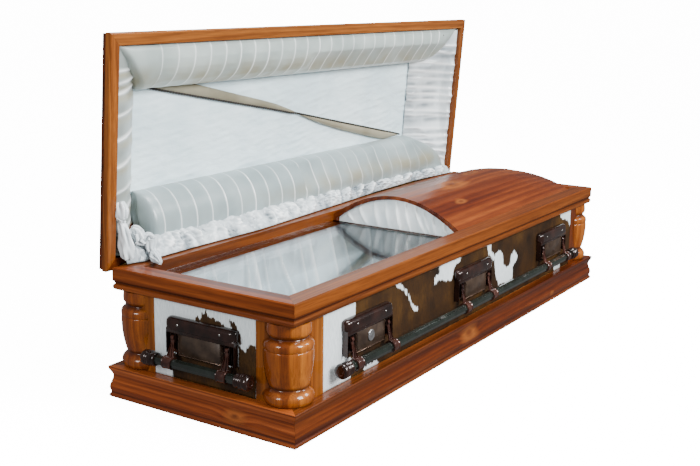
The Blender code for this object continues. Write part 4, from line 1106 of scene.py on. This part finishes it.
ARCH_FOLDS = (
    (0.004, -0.012, 0.0060, 1.0), (-0.031, -0.052, 0.0050, 0.8), (-0.068, -0.108, 0.0080, 1.0),
    (-0.135, -0.146, 0.0050, 0.8), (-0.178, -0.190, 0.0060, 0.9), (0.045, 0.030, 0.0070, 0.6),
    (0.090, 0.070, 0.0090, 0.7), (0.150, 0.118, 0.0080, 0.9), (0.200, 0.168, 0.0070, 0.9),
    (-0.100, -0.128, 0.004, 0.7),
)


def add_arch_satin():
    """Gathered satin under the end of the dome: creases fall from the arch and the cloth swells between them."""
    low, high = corners("satin_arch_panel")
    half = high[1]
    y = np.linspace(-1, 1, 340)[:, None]
    v = np.linspace(0, 1, 48)[None]
    rise = (high[2] - low[2])
    side = 0.016
    top = low[2] + side + (rise - side) * (1 - y**2)
    z = low[2] + (top - low[2]) * v
    across = half * y + 0 * v
    ridge, shine = fold_ridges(across, v, ARCH_FOLDS)
    tuck = 0.3 * crumple(across, z, 9, 90.0) + 0.2 * crumple(across, z, 10, 190.0)
    swell = np.sin(np.pi * (0.04 + 0.92 * v)) ** 0.6 * np.sqrt(np.clip(1 - y**2, 0, 1))
    x = high[0] - 0.003 - swell * (0.0035 + 0.0085 * ridge + 0.003 * tuck)
    x = np.maximum(x, 0.0005)
    grid = np.stack([x + 0 * z, across, z], -1)
    item = piece("gathered_arch_satin", [Patch(grid)], ARCH_SATIN, cad=["satin_arch_panel"],
                 thick=0.001)
    mark(item, "crease", shine)


def inner_outline():
    """The lining's run round the inside of the box, stepped round the corner posts."""
    far_x, far_y, near_x, near_y = 0.9560, 0.2640, 0.8420, 0.1710
    quarter = [(far_x, near_y), (near_x, near_y), (near_x, far_y)]
    points = list(quarter)
    points += [(-x, y) for x, y in reversed(quarter)]
    points += [(-x, -y) for x, y in quarter]
    points += [(x, -y) for x, y in reversed(quarter)]
    return np.array(points)


LINING_LOW, LINING_HIGH = 0.0215, 0.3225
LINING_COLUMNS, LINING_ROWS = 1300, 24
CORNER_SOFTNESS = 15

BACK_WALL_FOLDS = (
    (-0.679, -0.640, 0.005, 0.5), (-0.645, -0.500, 0.007, 1.0), (-0.480, -0.452, 0.006, 1.0),
    (-0.445, -0.370, 0.016, 0.9), (-0.390, -0.320, 0.007, 0.6), (-0.318, -0.150, 0.009, 1.0),
    (-0.200, -0.108, 0.007, 1.0), (-0.140, -0.045, 0.017, 0.9), (-0.015, 0.075, 0.007, 1.0),
    (0.060, 0.185, 0.009, 0.7), (0.235, 0.300, 0.014, 0.7), (0.440, 0.405, 0.009, 0.9),
    (0.500, 0.548, 0.007, 0.8), (0.600, 0.655, 0.008, 0.8), (-0.780, -0.740, 0.012, 0.7),
)


def fold_ridges(along, up, folds):
    """Creases in hanging cloth: each is a narrow ridge whose place slides and bends from top to bottom."""
    height, shine = np.zeros(np.broadcast(along, up).shape), np.zeros(np.broadcast(along, up).shape)
    for high, low, width, strength in folds:
        down = 1 - up
        middle = high + (low - high) * down**1.35
        spread = width * (0.65 + 0.5 * down)
        shape = np.exp(-((along - middle) / spread) ** 2) * np.sin(np.pi * (0.06 + 0.90 * up)) ** 0.4
        height = np.maximum(height, strength * shape)
        shine = np.maximum(shine, strength * shape**2)
    return height, shine


def add_body_lining():
    """Satin inside the box: a hung wall with creases from top to bottom, and a puckered floor."""
    outline = inner_outline()
    loop = np.vstack([outline, outline[:1]])
    steps = np.linalg.norm(np.diff(loop, axis=0), axis=1)
    run = np.concatenate([[0], np.cumsum(steps)])
    count, wide = LINING_COLUMNS, CORNER_SOFTNESS
    place = np.linspace(0, run[-1], count, endpoint=False)
    edge = np.stack([np.interp(place, run, loop[:, k]) for k in range(2)], -1)
    soft = np.stack([np.convolve(np.concatenate([edge[-wide // 2 + 1:, k], edge[:, k], edge[:wide // 2, k]]),
                                 np.ones(wide) / wide, "valid") for k in range(2)], -1)[:count]
    along = np.roll(soft, -1, 0) - np.roll(soft, 1, 0)
    inward = np.stack([-along[:, 1], along[:, 0]], -1) / np.linalg.norm(along, axis=1, keepdims=True)
    v = np.linspace(0, 1, LINING_ROWS)
    chance = np.random.default_rng(77)
    spread = np.cumsum(chance.uniform(0.045, 0.115, 60))
    spread = spread[spread < run[-1]]
    slant = chance.uniform(-0.05, 0.08, len(spread))
    others = tuple(zip(spread, spread + slant, chance.uniform(0.006, 0.014, len(spread)),
                       chance.uniform(0.5, 1.0, len(spread))))
    ridge, shine = fold_ridges(place[:, None], v[None], others)
    back = (soft[:, 1] > 0.25)[:, None]
    ridge_back, shine_back = fold_ridges(soft[:, :1], v[None], BACK_WALL_FOLDS)
    ridge, shine = np.where(back, ridge_back, ridge), np.where(back, shine_back, shine)
    billow = 0.5 + 0.5 * crumple(place[:, None], v[None] * 0.12, 21, 42.0)
    depth = 0.0030 + 0.016 * ridge + 0.006 * np.clip(billow, 0, 1.4) * np.sin(np.pi * v[None]) ** 0.5
    xy = soft[:, None] + inward[:, None] * depth[..., None]
    grid = np.concatenate([xy, np.broadcast_to((LINING_LOW + (LINING_HIGH - LINING_LOW) * v)[None, :, None],
                                                (count, LINING_ROWS, 1))], -1)
    walls = Patch(np.swapaxes(grid, 0, 1), wrap=True)
    item = piece("hung_wall_lining", [walls], WALL_SATIN, cad=["body_lining"], thick=0.0012)
    mark(item, "crease", np.swapaxes(shine, 0, 1))
    x = np.linspace(-0.951, 0.951, 150)[:, None]
    y = np.linspace(-1, 1, 50)[None]
    reach = np.where(np.abs(x) < 0.836, 0.258, 0.165)
    a, b = x + 0 * y, reach * y
    rise = 0.0245 + 0.0022 * crumple(a, b, 31, 38.0) + 0.0008 * crumple(a, b, 32, 120.0)
    floor = piece("satin_floor", [Patch(np.stack([a, b, np.maximum(rise, 0.0205)], -1))], BRIGHT_SATIN,
                  thick=0.001)


FRILL_LOW = ((-0.958, 0.290), (-0.905, 0.274), (-0.704, 0.274), (-0.396, 0.264), (0.066, 0.290), (0.384, 0.312),
             (0.680, 0.316), (0.955, 0.294))
FRILL_TOP = ((-0.958, 0.4700), (-0.900, 0.4600), (-0.840, 0.4275), (0.091, 0.4217), (0.955, 0.4050))
FRILL_BACK_Y = 0.3300
SCARF = ((-0.956, 0.314, 0.548), (-0.956, 0.308, 0.530), (-0.960, 0.304, 0.512), (-0.955, 0.312, 0.492),
         (-0.953, 0.306, 0.470), (-0.950, 0.302, 0.440), (-0.948, 0.298, 0.410), (-0.946, 0.296, 0.392))
SCARF_SIZE = (0.010, 0.017, 0.014, 0.010, 0.014, 0.017, 0.018, 0.016)
KNOTS = ((-0.925, 0.300, 0.475), (-0.912, 0.294, 0.462), (-0.906, 0.290, 0.440), (-0.895, 0.286, 0.430),
         (-0.886, 0.281, 0.443), (-0.880, 0.276, 0.430), (-0.884, 0.272, 0.411), (-0.880, 0.268, 0.398),
         (-0.884, 0.258, 0.390), (-0.892, 0.244, 0.387), (-0.900, 0.228, 0.385), (-0.908, 0.214, 0.3815))
KNOT_SIZE = (0.006, 0.013, 0.016, 0.009, 0.013, 0.014, 0.011, 0.009, 0.0115, 0.0125, 0.009, 0.004)


def bunched(path, sizes, folds, seed):
    """A bunch of cloth along a path: a tube whose section has uneven folds that turn as it goes along."""
    line = smooth_line(np.hstack([np.array(path), np.array(sizes)[:, None]]), 7)
    grid = tube(line[:, :3], 1.0, 40)
    turn = np.linspace(0, 2 * np.pi, 40, endpoint=False)[None]
    along = np.linspace(0, 1, len(line))[:, None]
    fold = np.sin(folds * turn + 5.0 * along + seed) + 0.6 * np.sin((folds + 2) * turn - 9.0 * along)
    radius = line[:, 3:4] * (1 + 0.17 * fold + 0.10 * waves(along + 0.13 * turn, seed, 4, 2.0, 7.0))
    centre = line[:, None, :3]
    grid = centre + (grid - centre) * radius[..., None]
    grid[..., 2] = np.maximum(grid[..., 2], RIM_Z + 0.0008)
    return grid, np.clip(0.5 * fold - 0.35, 0, 1), np.clip(-0.6 * fold - 0.1, 0, 1)


def add_frill():
    """A gathered valance along the lid's lower edge that falls onto the rear rail: uneven puffs with fine folds
    between them. Its head end is bunched and knotted, and a tail of it lies over the corner of the rim."""
    chance = np.random.default_rng(12)
    x = np.linspace(FRILL_TOP[0][0], FRILL_TOP[-1][0], 1300)[:, None]
    v = np.linspace(0, 1, 26)[None]
    middles = -0.95 + np.cumsum(chance.uniform(0.026, 0.092, 42))
    middles = middles[middles < 0.95]
    size, wide = chance.uniform(0.35, 1.0, len(middles)), chance.uniform(0.010, 0.027, len(middles))
    lean = chance.uniform(-0.045, 0.030, len(middles))
    puff = np.zeros(np.broadcast(x, v).shape)
    for middle, strong, spread, slant in zip(middles, size, wide, lean):
        puff = np.maximum(puff, strong * np.exp(-((x - middle - slant * (v - 0.5)) / spread) ** 2))
    fine = 0.7 * crumple(x, v * 0.075, 44, 150.0) + 0.5 * crumple(x, v * 0.075, 45, 330.0)
    top_z = np.interp(x, *zip(*FRILL_TOP))
    low_y = np.interp(x, *zip(*FRILL_LOW))
    swell = np.sin(np.pi * np.clip(v * 1.02, 0, 1)) ** 0.7
    y = FRILL_BACK_Y + (low_y - FRILL_BACK_Y) * v**1.3 - swell * (0.004 + 0.015 * puff + 0.0040 * fine)
    z = top_z + (0.3775 - top_z) * v + swell * (0.003 + 0.011 * puff * (1 - 0.5 * v) + 0.0018 * fine)
    shift = 0.004 * waves(x[:, 0], 43, 6, 9.0, 19.0)[:, None] * v
    z = np.maximum(z, RIM_Z + 0.0012)
    grid = np.stack([x + shift, y, z], -1)
    scarf, scarf_shine, scarf_shade = bunched(SCARF, SCARF_SIZE, 5, 3)
    knots, knots_shine, knots_shade = bunched(KNOTS, KNOT_SIZE, 6, 8)
    patches = [Patch(grid), closed(scarf), closed(knots)]
    item = piece("gathered_frill", patches, BRIGHT_SATIN, body=None, thick=0.0009)
    shine = np.clip(puff * 1.6 - 0.6, 0, 1) * np.clip(0.25 + 1.2 * fine, 0, 1) * swell
    shade = np.clip(1.0 - 1.5 * puff, 0, 0.9) + 0.7 * np.clip(-fine - 0.1, 0, 1)
    mark(item, "crease", np.concatenate([a.ravel() for a in (shine, scarf_shine, knots_shine)]))
    mark(item, "painted_shade", np.concatenate([a.ravel() for a in (shade, scarf_shade, knots_shade)]))
    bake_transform(item)


def add_catch():
    """A small dark catch pin near the lid's free edge."""
    low = opened(np.array([[0.832, LID_Y - 0.601, MATING_Z + 0.013], [0.832, LID_Y - 0.590, MATING_Z + 0.0024]]))
    path = low[0] + (low[1] - low[0]) * np.linspace(0, 1, 6)[:, None]
    piece("catch_pin", [closed(tube(path, 0.0016, 10))], BRONZE, "lid")


# Camera, light and floor

def add_camera():
    """A camera at the photograph's place, turned by yaw, pitch and roll."""
    yaw, pitch, roll = (math.radians(a) for a in (CAMERA_YAW, CAMERA_PITCH, CAMERA_ROLL))
    forward = np.array([math.sin(yaw) * math.cos(pitch), math.cos(yaw) * math.cos(pitch), -math.sin(pitch)])
    level = np.array([math.cos(yaw), -math.sin(yaw), 0.0])
    upright = np.cross(level, forward)
    right = math.cos(roll) * level + math.sin(roll) * upright
    up = -math.sin(roll) * level + math.cos(roll) * upright
    camera = bpy.data.objects.new("camera", bpy.data.cameras.new("camera"))
    bpy.context.scene.collection.objects.link(camera)
    turn = np.stack([right, up, -forward], 1)
    camera.matrix_world = Matrix.Translation(CAMERA_PLACE) @ Matrix(turn.tolist()).to_4x4()
    camera.data.lens = CAMERA_LENS
    camera.data.sensor_width = 36.0
    bpy.context.scene.camera = camera


def add_light(name, place, target, size, power):
    """A soft box that looks at a target."""
    data = bpy.data.lights.new(name, "AREA")
    data.shape = "RECTANGLE"
    data.size, data.size_y = size
    data.energy = power
    light = bpy.data.objects.new(name, data)
    bpy.context.scene.collection.objects.link(light)
    light.location = place
    light.rotation_euler = (Vector(target) - Vector(place)).to_track_quat("-Z", "Y").to_euler()


LAMPS = (
    ("key", (-0.7, -3.6, 2.3), (0.0, -0.1, 0.35), (1.5, 1.5), 300),
    ("fill", (2.3, -3.3, 2.9), (0.3, -0.1, 0.35), (1.3, 1.3), 120),
    ("top", (0.2, -0.6, 3.2), (0.0, 0.1, 0.4), (2.2, 0.9), 130),
    ("end", (-3.6, 0.4, 1.6), (-1.0, 0.0, 0.3), (0.9, 0.9), 50),
)


def add_studio():
    """White floor and sky, a large key from the front left, a fill from the right and one from above."""
    world = bpy.data.worlds.new("studio")
    world.use_nodes = True
    tree = world.node_tree
    dim = node(tree, "MapRange", {"Value": node(tree, "LightPath", out="Is Glossy Ray"), "To Min": 0.62,
                                  "To Max": 0.20})
    bright = node(tree, "Math", (node(tree, "LightPath", out="Is Camera Ray"), 13.0), operation="MULTIPLY")
    tree.links.new(node(tree, "Math", (dim, bright), operation="ADD"), tree.nodes["Background"].inputs["Strength"])
    tree.nodes["Background"].inputs["Color"].default_value = colour("#ffffff")
    bpy.context.scene.world = world
    reach = np.linspace(-200, 200, 2)
    grid = np.stack(np.meshgrid(reach, reach, indexing="ij") + [np.zeros((2, 2))], -1)
    material, tree, shader = start_material("floor_paper")
    place = node(tree, "TexCoord", out="Object")
    cloud = stretched_noise(tree, place, (1.0, 1.0, 1.0), 0.8, 2.0)
    dress(tree, shader, {"Base Color": node(tree, "ValToRGB", (cloud,), stops=[(0.3, "#f4f4f4"), (0.7, "#f8f8f8")]),
                         "Roughness": 0.9, "Emission Color": colour("#ffffff"), "Emission Strength": 14.0})
    floor = piece("floor", [Patch(grid - [0, 0, 0.0005])], material, body=None)
    floor.visible_diffuse = floor.visible_glossy = False
    for lamp in LAMPS:
        add_light(*lamp)


dress_wood()
add_columns()
add_handles()
add_hides()
add_rolls()
add_lid_panel()
add_sash()
add_arch_satin()
add_body_lining()
add_frill()
add_catch()
add_camera()
add_studio()
bpy.context.view_layer.update()
